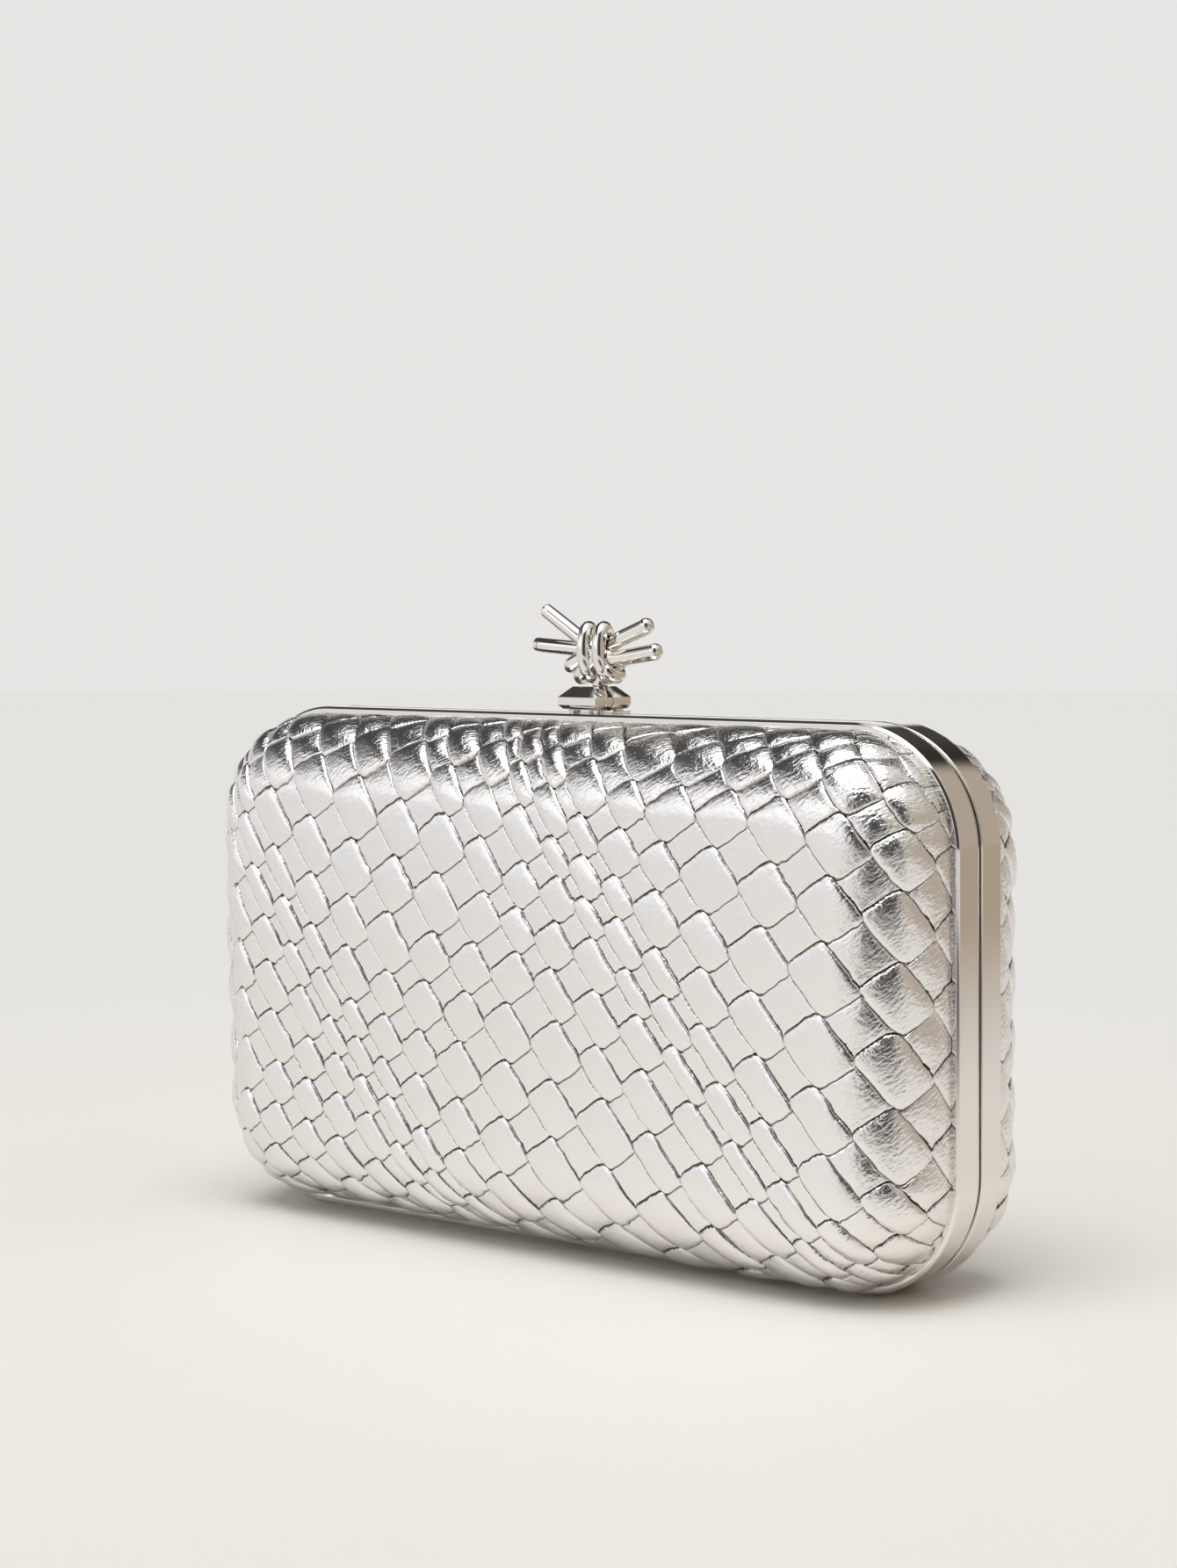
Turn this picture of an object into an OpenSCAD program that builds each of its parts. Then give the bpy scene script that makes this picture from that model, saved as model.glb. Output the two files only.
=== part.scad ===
// Hard clutch bag: two hinged metal rims with domed leather panels and a knot clasp.
// X runs along the bag, -Y is the front, +Z is up, and the bag stands on Z = 0.

/* [Frame] */
// Width of the closed frame
frame_w = 188; // [150:1:230]
// Height of the frame, without the clasp
frame_h = 109; // [90:1:140]
// Outer radius of the four corners
corner_r = 24; // [22:0.5:34]
// Depth of one rim, from the parting plane to its open edge
rim_depth = 7.5; // [7.2:0.1:10]
// Thickness of a rim's outer wall
rim_wall = 1.5; // [1.2:0.1:2]
// Thickness of the inward ledge that carries a panel
ledge_t = 1; // [0.6:0.1:1.4]
// Distance from the parting plane to the ledge
ledge_set = 4.2; // [4:0.1:4.6]
// Bevel along the outer edge of a rim
edge_bevel = 0.5; // [0.2:0.05:0.7]
// Half of the slot between the two rims
parting_gap = 0.3; // [0.15:0.05:0.4]
// Width of each rim's half of the groove round the parting plane
groove_w = 0.65; // [0.4:0.05:0.9]
// Depth of that groove
groove_d = 0.8; // [0.4:0.05:1]
// Thickness of the lip strips that close the slot from inside
lip_t = 0.75; // [0.5:0.05:1]
// Clearance between the lip strips and the rims
lip_gap = 0.25; // [0.15:0.05:0.4]
// Reach of the lip strips past the parting plane
lip_reach = 1.3; // [0.8:0.1:2]
// Height above the ground at which the lip strips end
lip_foot = 27; // [25:1:40]

/* [Panels] */
// Rise of a panel's rounded side above its rim
dome_rise = 18; // [12:0.5:24]
// Inward run of a panel's rounded side
dome_run = 18; // [14:0.5:22]
// Extra rise of the panel's face towards its middle
crown = 1.5; // [0.5:0.1:3]
// Thickness of the leather
leather_t = 1.2; // [0.8:0.1:1.6]
// Thickness of the padding at the face
padding_t = 3.5; // [2:0.1:4.5]
// Thickness of the padding at its edge
padding_edge_t = 0.4; // [0.3:0.05:0.8]
// Thickness of the stiff shell
shell_t = 1.5; // [1:0.1:2]
// Thickness of the lining
lining_t = 0.8; // [0.5:0.1:1.2]
// Clearance between two layers of a panel
layer_gap = 0.1; // [0.08:0.01:0.15]

/* [Hinge] */
// Length of one hinge
hinge_len = 24; // [18:1:36]
// Distance between the middles of the two hinges
hinge_spread = 90; // [60:1:100]
// Diameter of the hinge barrel
barrel_d = 2.8; // [2.4:0.1:3]
// Diameter of the hinge pin
pin_d = 1.2; // [0.8:0.1:1.4]
// Thickness of a hinge leaf
leaf_t = 0.7; // [0.5:0.1:1]
// Widest opening of the frame, in degrees
open_angle = 78; // [60:1:86]
// Diameter of the hinge rivets
rivet_d = 1.2; // [0.8:0.1:1.4]
// Diameter of their heads
rivet_head_d = 2; // [1.6:0.1:2.2]
// Height of their heads
rivet_head_t = 0.5; // [0.3:0.1:0.8]

/* [Clasp] */
// Width of the clasp block
block_w = 10; // [9.6:0.1:14]
// Depth of each half of the clasp block
block_half = 5.8; // [5.6:0.1:7]
// Height of the block's upright band
block_band = 2.4; // [2.2:0.1:3]
// Size of the bevel round the top of the block
block_bevel = 2.2; // [1.8:0.1:2.3]
// Size of the bevel round the bottom of the block
block_foot = 0.8; // [0.4:0.1:0.9]
// Clearance under the block
block_lift = 0.9; // [0.8:0.1:1.4]
// Step from the block's faces to the edges of the base plate
base_step = 0.35; // [0.2:0.05:0.5]
// Half of the slot between the two half blocks
block_gap = 0.1; // [0.08:0.01:0.2]
// Distance of the tilt pin from the back of the block
pivot_set = 1.9; // [1.7:0.1:2.1]
// Height of the tilt pin above the rims
pivot_rise = 2.2; // [2.1:0.05:2.4]
// Diameter of the tilt pin
pivot_d = 1; // [0.8:0.05:1]
// Tilt that frees the catch, in degrees
tilt_angle = 14; // [10:1:14]

/* [Knot] */
// Tip to tip width of the knot
knot_w = 34.7; // [28:0.1:40]
// Height of the wraps above the block
knot_rise = 0.45; // [0.35:0.05:3]
// Diameter of the rods that end in tips, at their left end
strand_d = 3; // [2:0.1:3.2]
// Their width at the right end, as a share of that
swell_share = 1.2; // [1:0.05:1.3]
// Diameter of the wound rod and the loops
wrap_d = 3; // [2.2:0.1:3.2]
// Height of the wraps between their centre lines
wrap_h = 10.1; // [9:0.1:12]
// Depth of the wraps between their centre lines
wrap_deep = 5.2; // [4.8:0.1:6.4]
// Distance between the two wraps
wrap_pitch = 4.1; // [3:0.1:4.4]

/* [Hidden] */
$fn = 48;

// One overrun serves every cut
over = 0.5;
// Play of a turning pin, and of a pin or rivet that is fixed
run_play = 0.05;
fixed_play = 0.02;
// Gap between two flat faces that rest on each other
seat = 0.05;

// Points along each rounded corner, rings over each rounded side, rings over the face
turn_steps = 6;
side_steps = 7;
face_steps = 3;

// Rim section
ledge_out = ledge_set + ledge_t;
cover_edge = rim_wall + layer_gap;
padding_edge = cover_edge + leather_t + layer_gap;
shell_edge = padding_edge + padding_edge_t + layer_gap;
lining_edge = shell_edge + shell_t + layer_gap;
lining_inside = lining_edge + lining_t;
panel_seat = ledge_out + layer_gap;
groove_bevel = groove_w / 4;

// Panel heights, each layer under the one before it
padding_rise = dome_rise - leather_t - layer_gap;
shell_rise = padding_rise - padding_t - layer_gap;
lining_rise = shell_rise - shell_t - layer_gap;
lining_inner_rise = lining_rise - lining_t;
face_inset = cover_edge + dome_run;
least_corner_r = corner_r / 12;

// Hinge
barrel_r = barrel_d / 2;
hinge_z = barrel_r + seat * 2;
hinge_play = barrel_d / 14;
knuckles = 5;
knuckle_len = (hinge_len - hinge_play * (knuckles - 1)) / knuckles;
knuckle_step = knuckle_len + hinge_play;
leaf_z = rim_wall + seat;
leaf_far = ledge_set - hinge_play;
leaf_near = barrel_r + hinge_play;
rivet_set = leaf_far - rivet_head_d / 2;
rivet_spread = hinge_len * 2 / 3;
half_open = open_angle / 2 + 2;

// Clasp block
block_z = frame_h + block_lift;
block_top = block_z + block_band + block_bevel;
pivot_y = block_half - pivot_set;
pivot_z = frame_h + pivot_rise;
base_t = block_lift * 5 / 12;
base_w = block_w - 2 * base_step;
base_near = parting_gap + base_step;
base_far = block_half + base_step;
ear_w = block_w * 0.12;
ear_x = block_w * 0.26;
ear_r = pivot_d * 1.2;
ear_web = pivot_d * 1.8;
ear_play = pivot_d * 0.3;
ear_side_play = ear_play / 2;
pin_left = -block_w / 2 + ear_side_play;
pin_right = ear_x + ear_w + ear_side_play * 2;

// Clasp rivets and the leaf spring under them
small_rivet_d = pivot_d;
small_head_d = small_rivet_d * 1.6;
small_head_t = base_t * 0.6;
small_rivet_x = block_w * 0.12;
small_rivet_y = base_near + small_head_d / 2 + base_step / 2;
spring_t = base_t * 0.4;
spring_w = ear_x * 1.7;
spring_foot = small_rivet_y + small_head_d / 2 + seat;
spring_end = block_half - ear_w;

// Catch on the front half
stud_d = pivot_d * 1.6;
stud_collar_d = stud_d * 1.5;
stud_x = block_w * 0.32;
stud_y = ledge_set - stud_collar_d / 2 - ear_play * 1.5;
stud_depth = block_band + seat;
tongue_t = block_lift / 4;
tongue_w = block_w / 5;
tongue_bar_w = stud_x * 2 + stud_d;
barb_y = block_gap + pivot_d * 0.65;
barb_top = block_z + stud_d / 3;
hook_w = tongue_w * 1.2;
hook_t = tongue_t * 2;
hook_y = barb_y + tongue_t * 1.9;
hook_end = hook_y + hook_t;
hook_low = block_z + seat * 2;
finger_low = barb_top + seat * 3;
finger_high = finger_low + hook_t;
pocket_w = hook_w + stud_d * 0.45;
pocket_end = hook_end + hook_t;
pocket_top = finger_high + (pivot_y + hook_end) * sin(tilt_angle) + ear_play;
// Lever: a small bevel behind the ears, and in front, where the edge swings down past the catch
lever_foot = block_foot * 3 / 8;

// Knot foot and the screw that holds it
foot_d = block_half * 0.58;
foot_y = block_gap + seat * 2 + foot_d / 2;
spigot_d = foot_d * 0.7;
spigot_h = block_bevel / 2;
screw_d = pivot_d * 1.2;
screw_head_d = screw_d * 5 / 3;
screw_head_t = screw_d * 0.6;
screw_top = block_top + spigot_h;
foot_top = block_top + foot_d;

// Knot routes, as shares of its half width, its depth and its height
knot_half = knot_w / 2;
knot_y = wrap_deep / 5;
strand_r = strand_d / 2;
wrap_r = wrap_d / 2;
knot_z = block_top + knot_rise + wrap_h / 2 + wrap_r;
tube_sides = 12;
rising_shares = [
    [-0.782, 0.02, 0.817], [-0.724, 0.02, 0.757], [-0.306, -0.04, 0.342], [-0.129, -0.1, 0.168],
    [0.059, -0.125, 0], [0.224, -0.125, -0.089], [0.365, -0.125, -0.114], [0.847, -0.144, 0.005],
    [0.918, -0.144, 0.025]
];
level_shares = [
    [-0.941, 0.125, 0.139], [-0.871, 0.125, 0.129], [-0.318, 0.19, 0.064], [-0.141, 0.21, 0.05],
    [0, 0.21, 0.079], [0.141, 0.21, 0.149], [0.271, 0.19, 0.248], [0.659, 0.144, 0.49],
    [0.718, 0.144, 0.535]
];
// Ways into the wraps and out of them, inside the knot
lead_in_shares = [[-0.06, 0.17, -0.12], [-0.15, 0.385, -0.12]];
lead_out_shares = [[0.2, 0.33, -0.13], [0.12, 0.17, -0.08]];
// Three loops that come out of the knot: the middle of each bend, and the way each points
loop_shares = [[-0.324, -0.228], [-0.182, -0.416], [0.212, -0.371]];
loop_turns = [206, 221, 315];
loop_y_share = 0.077;
loop_leg_share = 0.26;
loop_half = wrap_d * 0.56;
loop_steps = 8;
// Steps of a rounded tip: how far out, and how wide
tip_shares = [[0.9, 0.45], [0.55, 0.85]];
wrap_shift_share = -0.035;
wrap_slant_share = 0.06;
wrap_steps = 30;
wrap_from = -90;
wrap_to = 600;

function from_shares(shares) =
    [for (p = shares) [p[0] * knot_half, p[1] * wrap_deep, p[2] * wrap_h]];

function wrap_point(a) = [
    wrap_shift_share * knot_half + wrap_pitch * (a / 360 - 0.5) + wrap_slant_share * wrap_h / 2 * cos(a),
    -wrap_deep / 2 * sin(a),
    wrap_h / 2 * cos(a)
];

function wrap_route() = concat(
    from_shares(lead_in_shares),
    [for (i = [0:wrap_steps]) wrap_point(wrap_from + (wrap_to - wrap_from) * i / wrap_steps)],
    from_shares(lead_out_shares)
);

// Out along one leg, round the bend from the front to the back, and in along the other leg
function loop_route(k) =
    let (way = [cos(loop_turns[k]), 0, sin(loop_turns[k])])
    let (place = loop_shares[k])
    let (bend = [place[0] * knot_half, loop_y_share * wrap_deep, place[1] * wrap_h])
    let (root = bend - way * loop_leg_share * knot_half)
    let (out = [0, loop_half, 0])
    concat(
        [root - out],
        [for (i = [0:loop_steps])
            let (a = 180 * i / loop_steps)
            bend + way * loop_half * sin(a) - out * cos(a)],
        [root + out]
    );

// Plain outline of a rounded rectangle, anticlockwise from its right side
function outline(w, h, r) = [
    for (k = [0:3]) for (i = [0:turn_steps])
        let (a = 90 * k + 90 * i / turn_steps)
        let (cx = (k == 0 || k == 3 ? 1 : -1) * (w / 2 - r))
        let (cy = (k < 2 ? 1 : -1) * (h / 2 - r))
        [cx + r * cos(a), cy + r * sin(a)]
];

function corner_at(inset) = max(corner_r - inset, least_corner_r);

function ring(inset, high) = [
    for (p = outline(frame_w - 2 * inset, frame_h - 2 * inset, corner_at(inset)))
        [p[0], p[1], high]
];

function face_ring(share, high) = [
    for (p = outline(frame_w - 2 * face_inset, frame_h - 2 * face_inset, corner_at(face_inset)))
        [p[0] * share, p[1] * share, high]
];

// One surface of a panel: its upright edge, its rounded side and its crowned face
function panel_rings(edge, rise) = concat(
    [ring(edge, panel_seat)],
    [for (i = [0:side_steps])
        let (a = 90 * i / side_steps)
        ring(edge + (face_inset - edge) * (1 - cos(a)), rim_depth + rise * sin(a))],
    [for (i = [1:face_steps - 1])
        let (share = 1 - i / face_steps)
        face_ring(share, rim_depth + rise + crown * (1 - pow(share, 2)))]
);

function middle_of(rise) = [0, 0, rim_depth + rise + crown];

ring_count = side_steps + face_steps + 1;
ring_size = 4 * (turn_steps + 1);

function band_faces(start, rings, size, flip) = [
    for (k = [0:rings - 2]) for (i = [0:size - 1])
        let (a = start + k * size + i)
        let (b = start + k * size + (i + 1) % size)
        for (t = flip ? [[a, b + size, b], [a, a + size, b + size]]
                      : [[a, b, b + size], [a, b + size, a + size]]) t
];

// Closed wall between an outer and an inner surface of a panel
module panel_layer(outer_edge, outer_rise, inner_edge, inner_rise) {
    outer = [for (r = panel_rings(outer_edge, outer_rise)) each r];
    inner = [for (r = panel_rings(inner_edge, inner_rise)) each r];
    count = ring_count * ring_size;
    points = concat(outer, inner, [middle_of(outer_rise), middle_of(inner_rise)]);
    last = (ring_count - 1) * ring_size;
    faces = concat(
        band_faces(0, ring_count, ring_size, true),
        band_faces(count, ring_count, ring_size, false),
        [for (i = [0:ring_size - 1]) let (j = (i + 1) % ring_size)
            for (t = [
                [last + i, 2 * count, last + j],
                [count + last + i, count + last + j, 2 * count + 1],
                [i, j, count + j],
                [i, count + j, count + i]
            ]) t]
    );
    polyhedron(points, faces);
}

// Stand a plan on its edge: its depth then runs to the front
module stand_front() {
    translate([0, 0, frame_h / 2]) rotate([90, 0, 0]) children();
}

module stand_back() {
    mirror([0, 1, 0]) stand_front() children();
}

// Section of a rim: distance in from the outline, then depth from the parting plane
rim_section = [
    [groove_d, parting_gap], [groove_d, groove_w], [groove_bevel, groove_w],
    [0, groove_w + groove_bevel], [0, rim_depth - edge_bevel],
    [edge_bevel, rim_depth], [rim_wall, rim_depth], [rim_wall, ledge_out],
    [lining_inside, ledge_out], [lining_inside, ledge_set], [rim_wall, ledge_set],
    [rim_wall, parting_gap]
];

module rim_side(reach, len) {
    translate([0, len / 2, 0]) rotate([90, 0, 0]) linear_extrude(len)
        polygon([for (p = rim_section) [reach - p[0], p[1]]]);
}

module rim_corner() {
    rotate_extrude(angle = 90) polygon([for (p = rim_section) [corner_r - p[0], p[1]]]);
}

module rim_loop() {
    for (k = [0:3]) {
        reach = (k % 2 == 0 ? frame_w : frame_h) / 2;
        len = (k % 2 == 0 ? frame_h : frame_w) - 2 * corner_r;
        rotate(90 * k) {
            rim_side(reach, len);
            translate([reach - corner_r, len / 2, 0]) rim_corner();
        }
    }
}

module along_x(from, to) {
    translate([from, 0, 0]) rotate([90, 0, 90]) linear_extrude(to - from) children();
}

// Round post between two heights
module post(d, low, high) {
    translate([0, 0, low]) cylinder(d = d, h = high - low);
}

// Wedge below the hinge axis that lets the front rim turn down
module opening_wedge() {
    drop = hinge_z + over;
    along_x(-frame_w / 2, frame_w / 2)
        polygon([[-over, hinge_z], [0, hinge_z], [drop * tan(half_open), -over], [-over, -over]]);
}

module each_hinge() {
    for (x = [-hinge_spread / 2, hinge_spread / 2]) translate([x, 0, 0]) children();
}

module each_rivet_place() {
    each_hinge() for (x = [-rivet_spread / 2, rivet_spread / 2]) translate([x, rivet_set, 0]) children();
}

// Room for the hinges in the back rim, and its rivet holes
module hinge_cuts() {
    each_hinge() along_x(-hinge_len / 2 - hinge_play, hinge_len / 2 + hinge_play)
        translate([0, hinge_z]) circle(leaf_near);
    each_rivet_place() post(rivet_d + 2 * fixed_play, -over, rim_wall + over);
    opening_wedge();
}

module through_top(d) {
    post(d, frame_h - rim_wall - over, frame_h + over);
}

module back_rim() {
    color("Silver") difference() {
        stand_back() rim_loop();
        hinge_cuts();
        for (x = [-small_rivet_x, small_rivet_x]) translate([x, small_rivet_y, 0])
            through_top(small_rivet_d + 2 * fixed_play);
    }
}

module front_rim() {
    color("Silver") difference() {
        stand_front() rim_loop();
        mirror([0, 1, 0]) hinge_cuts();
        for (x = [-stud_x, stud_x]) translate([x, -stud_y, 0]) through_top(stud_d + 2 * fixed_play);
    }
}

module cover() {
    color("Gainsboro") panel_layer(
        cover_edge, dome_rise,
        cover_edge + leather_t, dome_rise - leather_t
    );
}

module padding() {
    color("Khaki") panel_layer(
        padding_edge, padding_rise,
        padding_edge + padding_edge_t, padding_rise - padding_t
    );
}

module shell() {
    color("DimGray") panel_layer(
        shell_edge, shell_rise,
        shell_edge + shell_t, shell_rise - shell_t
    );
}

module lining() {
    color("Tan") panel_layer(
        lining_edge, lining_rise,
        lining_inside, lining_inner_rise
    );
}

module back_cover() { stand_back() cover(); }
module back_padding() { stand_back() padding(); }
module back_shell() { stand_back() shell(); }
module back_lining() { stand_back() lining(); }
module front_cover() { stand_front() cover(); }
module front_padding() { stand_front() padding(); }
module front_shell() { stand_front() shell(); }
module front_lining() { stand_front() lining(); }

// Leaf on the +Y side, with the knuckles that first and every second place hold
module hinge_leaf(first, bore) {
    difference() {
        union() {
            translate([-hinge_len / 2, leaf_near, leaf_z]) cube([hinge_len, leaf_far - leaf_near, leaf_t]);
            for (k = [first:2:knuckles - 1]) {
                left = -hinge_len / 2 + k * knuckle_step;
                along_x(left, left + knuckle_len) translate([0, hinge_z]) circle(barrel_r);
                translate([left, 0, leaf_z]) cube([knuckle_len, leaf_near + over, leaf_t]);
            }
        }
        along_x(-hinge_len, hinge_len) translate([0, hinge_z]) circle(bore / 2);
        for (x = [-rivet_spread / 2, rivet_spread / 2]) translate([x, rivet_set, 0])
            post(rivet_d + 2 * fixed_play, 0, leaf_z + leaf_t + over);
    }
}

module back_hinge_leaves() {
    color("Gray") each_hinge() hinge_leaf(0, pin_d + 2 * fixed_play);
}

module front_hinge_leaves() {
    color("Gray") mirror([0, 1, 0]) each_hinge() hinge_leaf(1, pin_d + 2 * run_play);
}

module hinge_rivets() {
    each_rivet_place() {
        post(rivet_d, seat, leaf_z + leaf_t + 2 * seat);
        post(rivet_head_d, leaf_z + leaf_t + seat, leaf_z + leaf_t + seat + rivet_head_t);
    }
}

module back_hinge_rivets() { color("DarkGray") hinge_rivets(); }
module front_hinge_rivets() { color("DarkGray") mirror([0, 1, 0]) hinge_rivets(); }

module hinge_pins() {
    color("LightSlateGray") each_hinge() along_x(-hinge_len / 2, hinge_len / 2)
        translate([0, hinge_z]) circle(pin_d / 2);
}

module rounded_plan(inset) {
    w = frame_w - 2 * inset;
    h = frame_h - 2 * inset;
    r = corner_r - inset;
    square([w - 2 * r, h], center = true);
    square([w, h - 2 * r], center = true);
    for (x = [-1, 1]) for (y = [-1, 1]) translate([x * (w / 2 - r), y * (h / 2 - r)]) circle(r);
}

// Two strips inside the back rim that reach a little into the front one
module lip_strips() {
    outer = rim_wall + lip_gap;
    color("Silver") stand_front() translate([0, 0, -(ledge_set - lip_gap)])
        linear_extrude(ledge_set - lip_gap + lip_reach) difference() {
            rounded_plan(outer);
            rounded_plan(outer + lip_t);
            translate([-frame_w, -frame_h]) square([2 * frame_w, frame_h / 2 + lip_foot]);
            translate([-block_w * 0.65, 0]) square([block_w * 1.3, frame_h]);
        }
}

// Bevel cut along X, on the +Y side of a block
module bevel_cut(reach) {
    slope = block_bevel * sqrt(2);
    translate([-block_w, reach, block_top - block_bevel]) rotate([45, 0, 0])
        cube([2 * block_w, slope, slope]);
}

// Bevel cut of the given size along its bottom
module foot_cut(reach, size) {
    slope = size * sqrt(2);
    translate([-block_w, reach, block_z + size]) rotate([-135, 0, 0])
        cube([2 * block_w, slope, slope]);
}

// Block from the parting plane to +Y, bevelled on three sides round its top
module half_block() {
    difference() {
        translate([-block_w / 2, block_gap, block_z])
            cube([block_w, block_half - block_gap, block_top - block_z]);
        bevel_cut(block_half);
        for (turn = [-90, 90]) rotate(turn) {
            bevel_cut(block_w / 2);
            foot_cut(block_w / 2, block_foot);
        }
    }
}

module tilt_axis_rod(d, from, to) {
    along_x(from, to) translate([pivot_y, pivot_z]) circle(d / 2);
}

module each_ear() {
    for (x = [-ear_x - ear_w, ear_x]) translate([x, 0, 0]) children();
}

// Room in the lever block for one ear of the base
module ear_room() {
    along_x(-ear_side_play, ear_w + ear_side_play) {
        translate([pivot_y, pivot_z]) circle(ear_r + ear_play);
        translate([pivot_y - ear_r - ear_play, block_z - over])
            square([2 * (ear_r + ear_play), pivot_z - block_z + over]);
    }
}

module clasp_base() {
    color("Silver") difference() {
        union() {
            translate([-base_w / 2, base_near, frame_h + seat])
                cube([base_w, base_far - base_near, base_t - seat]);
            each_ear() along_x(0, ear_w) {
                translate([pivot_y, pivot_z]) circle(ear_r);
                translate([pivot_y - ear_web / 2, frame_h + base_t - seat])
                    square([ear_web, pivot_rise - base_t + seat]);
            }
        }
        tilt_axis_rod(pivot_d + 2 * fixed_play, -block_w, block_w);
        for (x = [-small_rivet_x, small_rivet_x]) translate([x, small_rivet_y, 0])
            post(small_rivet_d + 2 * fixed_play, frame_h, frame_h + base_t + over);
    }
}

// Rivet or stud through the top of a rim, closed over under it
module top_rivet(d, head_d, high) {
    tail = frame_h - rim_wall - seat;
    post(d, tail - small_head_t, high);
    post(head_d, tail - small_head_t, tail);
}

module clasp_rivets() {
    clamp_z = frame_h + base_t + seat + spring_t;
    color("DarkGray") for (x = [-small_rivet_x, small_rivet_x]) translate([x, small_rivet_y, 0]) {
        top_rivet(small_rivet_d, small_head_d, clamp_z + small_head_t);
        post(small_head_d, clamp_z + seat, clamp_z + small_head_t);
    }
}

module tilt_pin() {
    color("LightSlateGray") tilt_axis_rod(pivot_d, pin_left, pin_right);
}

// Leaf spring from its riveted foot up to the underside of the lever block
module return_spring() {
    low = frame_h + base_t + seat;
    rise = block_z - seat - low - spring_t;
    color("SteelBlue") difference() {
        along_x(-spring_w / 2, spring_w / 2) polygon([
            [base_near, low], [spring_foot, low],
            [spring_end - spring_t, low + rise], [spring_end, low + rise],
            [spring_end, low + rise + spring_t], [spring_end - spring_t * 2, low + rise + spring_t],
            [spring_foot - spring_t / 2, low + spring_t], [base_near, low + spring_t]
        ]);
        for (x = [-small_rivet_x, small_rivet_x]) translate([x, small_rivet_y, 0])
            post(small_rivet_d + 2 * fixed_play, low - over, low + spring_t + over);
    }
}

module catch_block() {
    color("Silver") mirror([0, 1, 0]) difference() {
        half_block();
        foot_cut(block_half, block_foot);
        translate([-pocket_w / 2, -over, block_z - over])
            cube([pocket_w, pocket_end + over, pocket_top - block_z + over]);
        for (x = [-stud_x, stud_x]) translate([x, stud_y, 0])
            post(stud_d + 2 * fixed_play, block_z - over, block_z + stud_depth);
    }
}

module catch_studs() {
    color("DarkGray") for (x = [-stud_x, stud_x]) translate([x, -stud_y, 0]) {
        top_rivet(stud_d, stud_collar_d, block_z + stud_depth - seat);
        post(stud_collar_d, frame_h + seat, block_z - tongue_t - 2 * seat);
    }
}

// Spring tongue whose barb stands behind the lever's hook
module catch_spring() {
    low = block_z - seat - tongue_t;
    bar_deep = stud_d * 1.3;
    color("SteelBlue") mirror([0, 1, 0]) difference() {
        union() {
            translate([-tongue_bar_w / 2, stud_y - bar_deep / 2, low])
                cube([tongue_bar_w, bar_deep, tongue_t]);
            translate([-tongue_w / 2, barb_y, low]) cube([tongue_w, stud_y - barb_y, tongue_t]);
            translate([-tongue_w / 2, barb_y, low]) cube([tongue_w, tongue_t, barb_top - low]);
        }
        for (x = [-stud_x, stud_x]) translate([x, stud_y, 0])
            post(stud_d + 2 * fixed_play, low - over, low + tongue_t + over);
    }
}

module lever_block() {
    color("Silver") difference() {
        union() {
            half_block();
            translate([-hook_w / 2, -hook_end, finger_low])
                cube([hook_w, hook_end + block_half / 4, finger_high - finger_low]);
            translate([-hook_w / 2, -hook_end, hook_low]) cube([hook_w, hook_t, finger_high - hook_low]);
        }
        for (reach = [block_gap, block_half]) foot_cut(reach, lever_foot);
        each_ear() ear_room();
        tilt_axis_rod(pivot_d + 2 * run_play, -block_w, pin_right + seat);
        translate([0, foot_y, 0]) {
            post(screw_d + 2 * fixed_play, block_z - over, block_top);
            post(screw_head_d + 2 * seat, block_z - over, block_z + screw_head_t + 2 * seat);
            post(spigot_d + 2 * fixed_play, block_top - spigot_h, block_top + over);
        }
    }
}

module knot_screw() {
    color("DarkGray") translate([0, foot_y, 0]) {
        post(screw_d, block_z + seat, screw_top - seat);
        post(screw_head_d, block_z + seat, block_z + seat + screw_head_t);
    }
}

function unit(v) = v / norm(v);

function heading(path, i) = unit(path[min(i + 1, len(path) - 1)] - path[max(i - 1, 0)]);

// A frame is carried from point to point, so the tube does not twist
function side_from(last_side, dir) = unit(last_side - dir * (last_side * dir));

function sides_along(path, i = 0, last_side = [0, 1, 0.3], found = []) =
    i == len(path) ? found :
    let (s = side_from(last_side, heading(path, i)))
    sides_along(path, i + 1, s, concat(found, [s]));

// Rings of a tube, each with its centre and radius, growing by swell and drawn in at both tips
function tube_rings(path, r, swell) =
    let (n = len(path))
    let (first = heading(path, 0))
    let (last = heading(path, n - 1))
    let (end_r = r * swell)
    concat(
        [for (t = tip_shares) [path[0] - first * r * t[0], r * t[1]]],
        [for (i = [0:n - 1]) [path[i], r + (end_r - r) * i / (n - 1)]],
        [for (k = [len(tip_shares) - 1:-1:0]) let (t = tip_shares[k])
            [path[n - 1] + last * end_r * t[0], end_r * t[1]]]
    );

module tube(path, r, swell = 1) {
    rings = tube_rings(path, r, swell);
    centres = [for (q = rings) q[0]];
    n = len(rings);
    sides = sides_along(centres);
    points = [
        for (i = [0:n - 1])
            let (s = sides[i])
            let (t = cross(heading(centres, i), s))
            for (k = [0:tube_sides - 1])
                let (a = 360 * k / tube_sides)
                centres[i] + rings[i][1] * (cos(a) * s + sin(a) * t)
    ];
    end = (n - 1) * tube_sides;
    faces = concat(
        band_faces(0, n, tube_sides, true),
        [for (k = [0:tube_sides - 1]) let (j = (k + 1) % tube_sides)
            for (f = [[n * tube_sides, k, j], [n * tube_sides + 1, end + j, end + k]]) f]
    );
    polyhedron(concat(points, [centres[0], centres[n - 1]]), faces);
}

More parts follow.
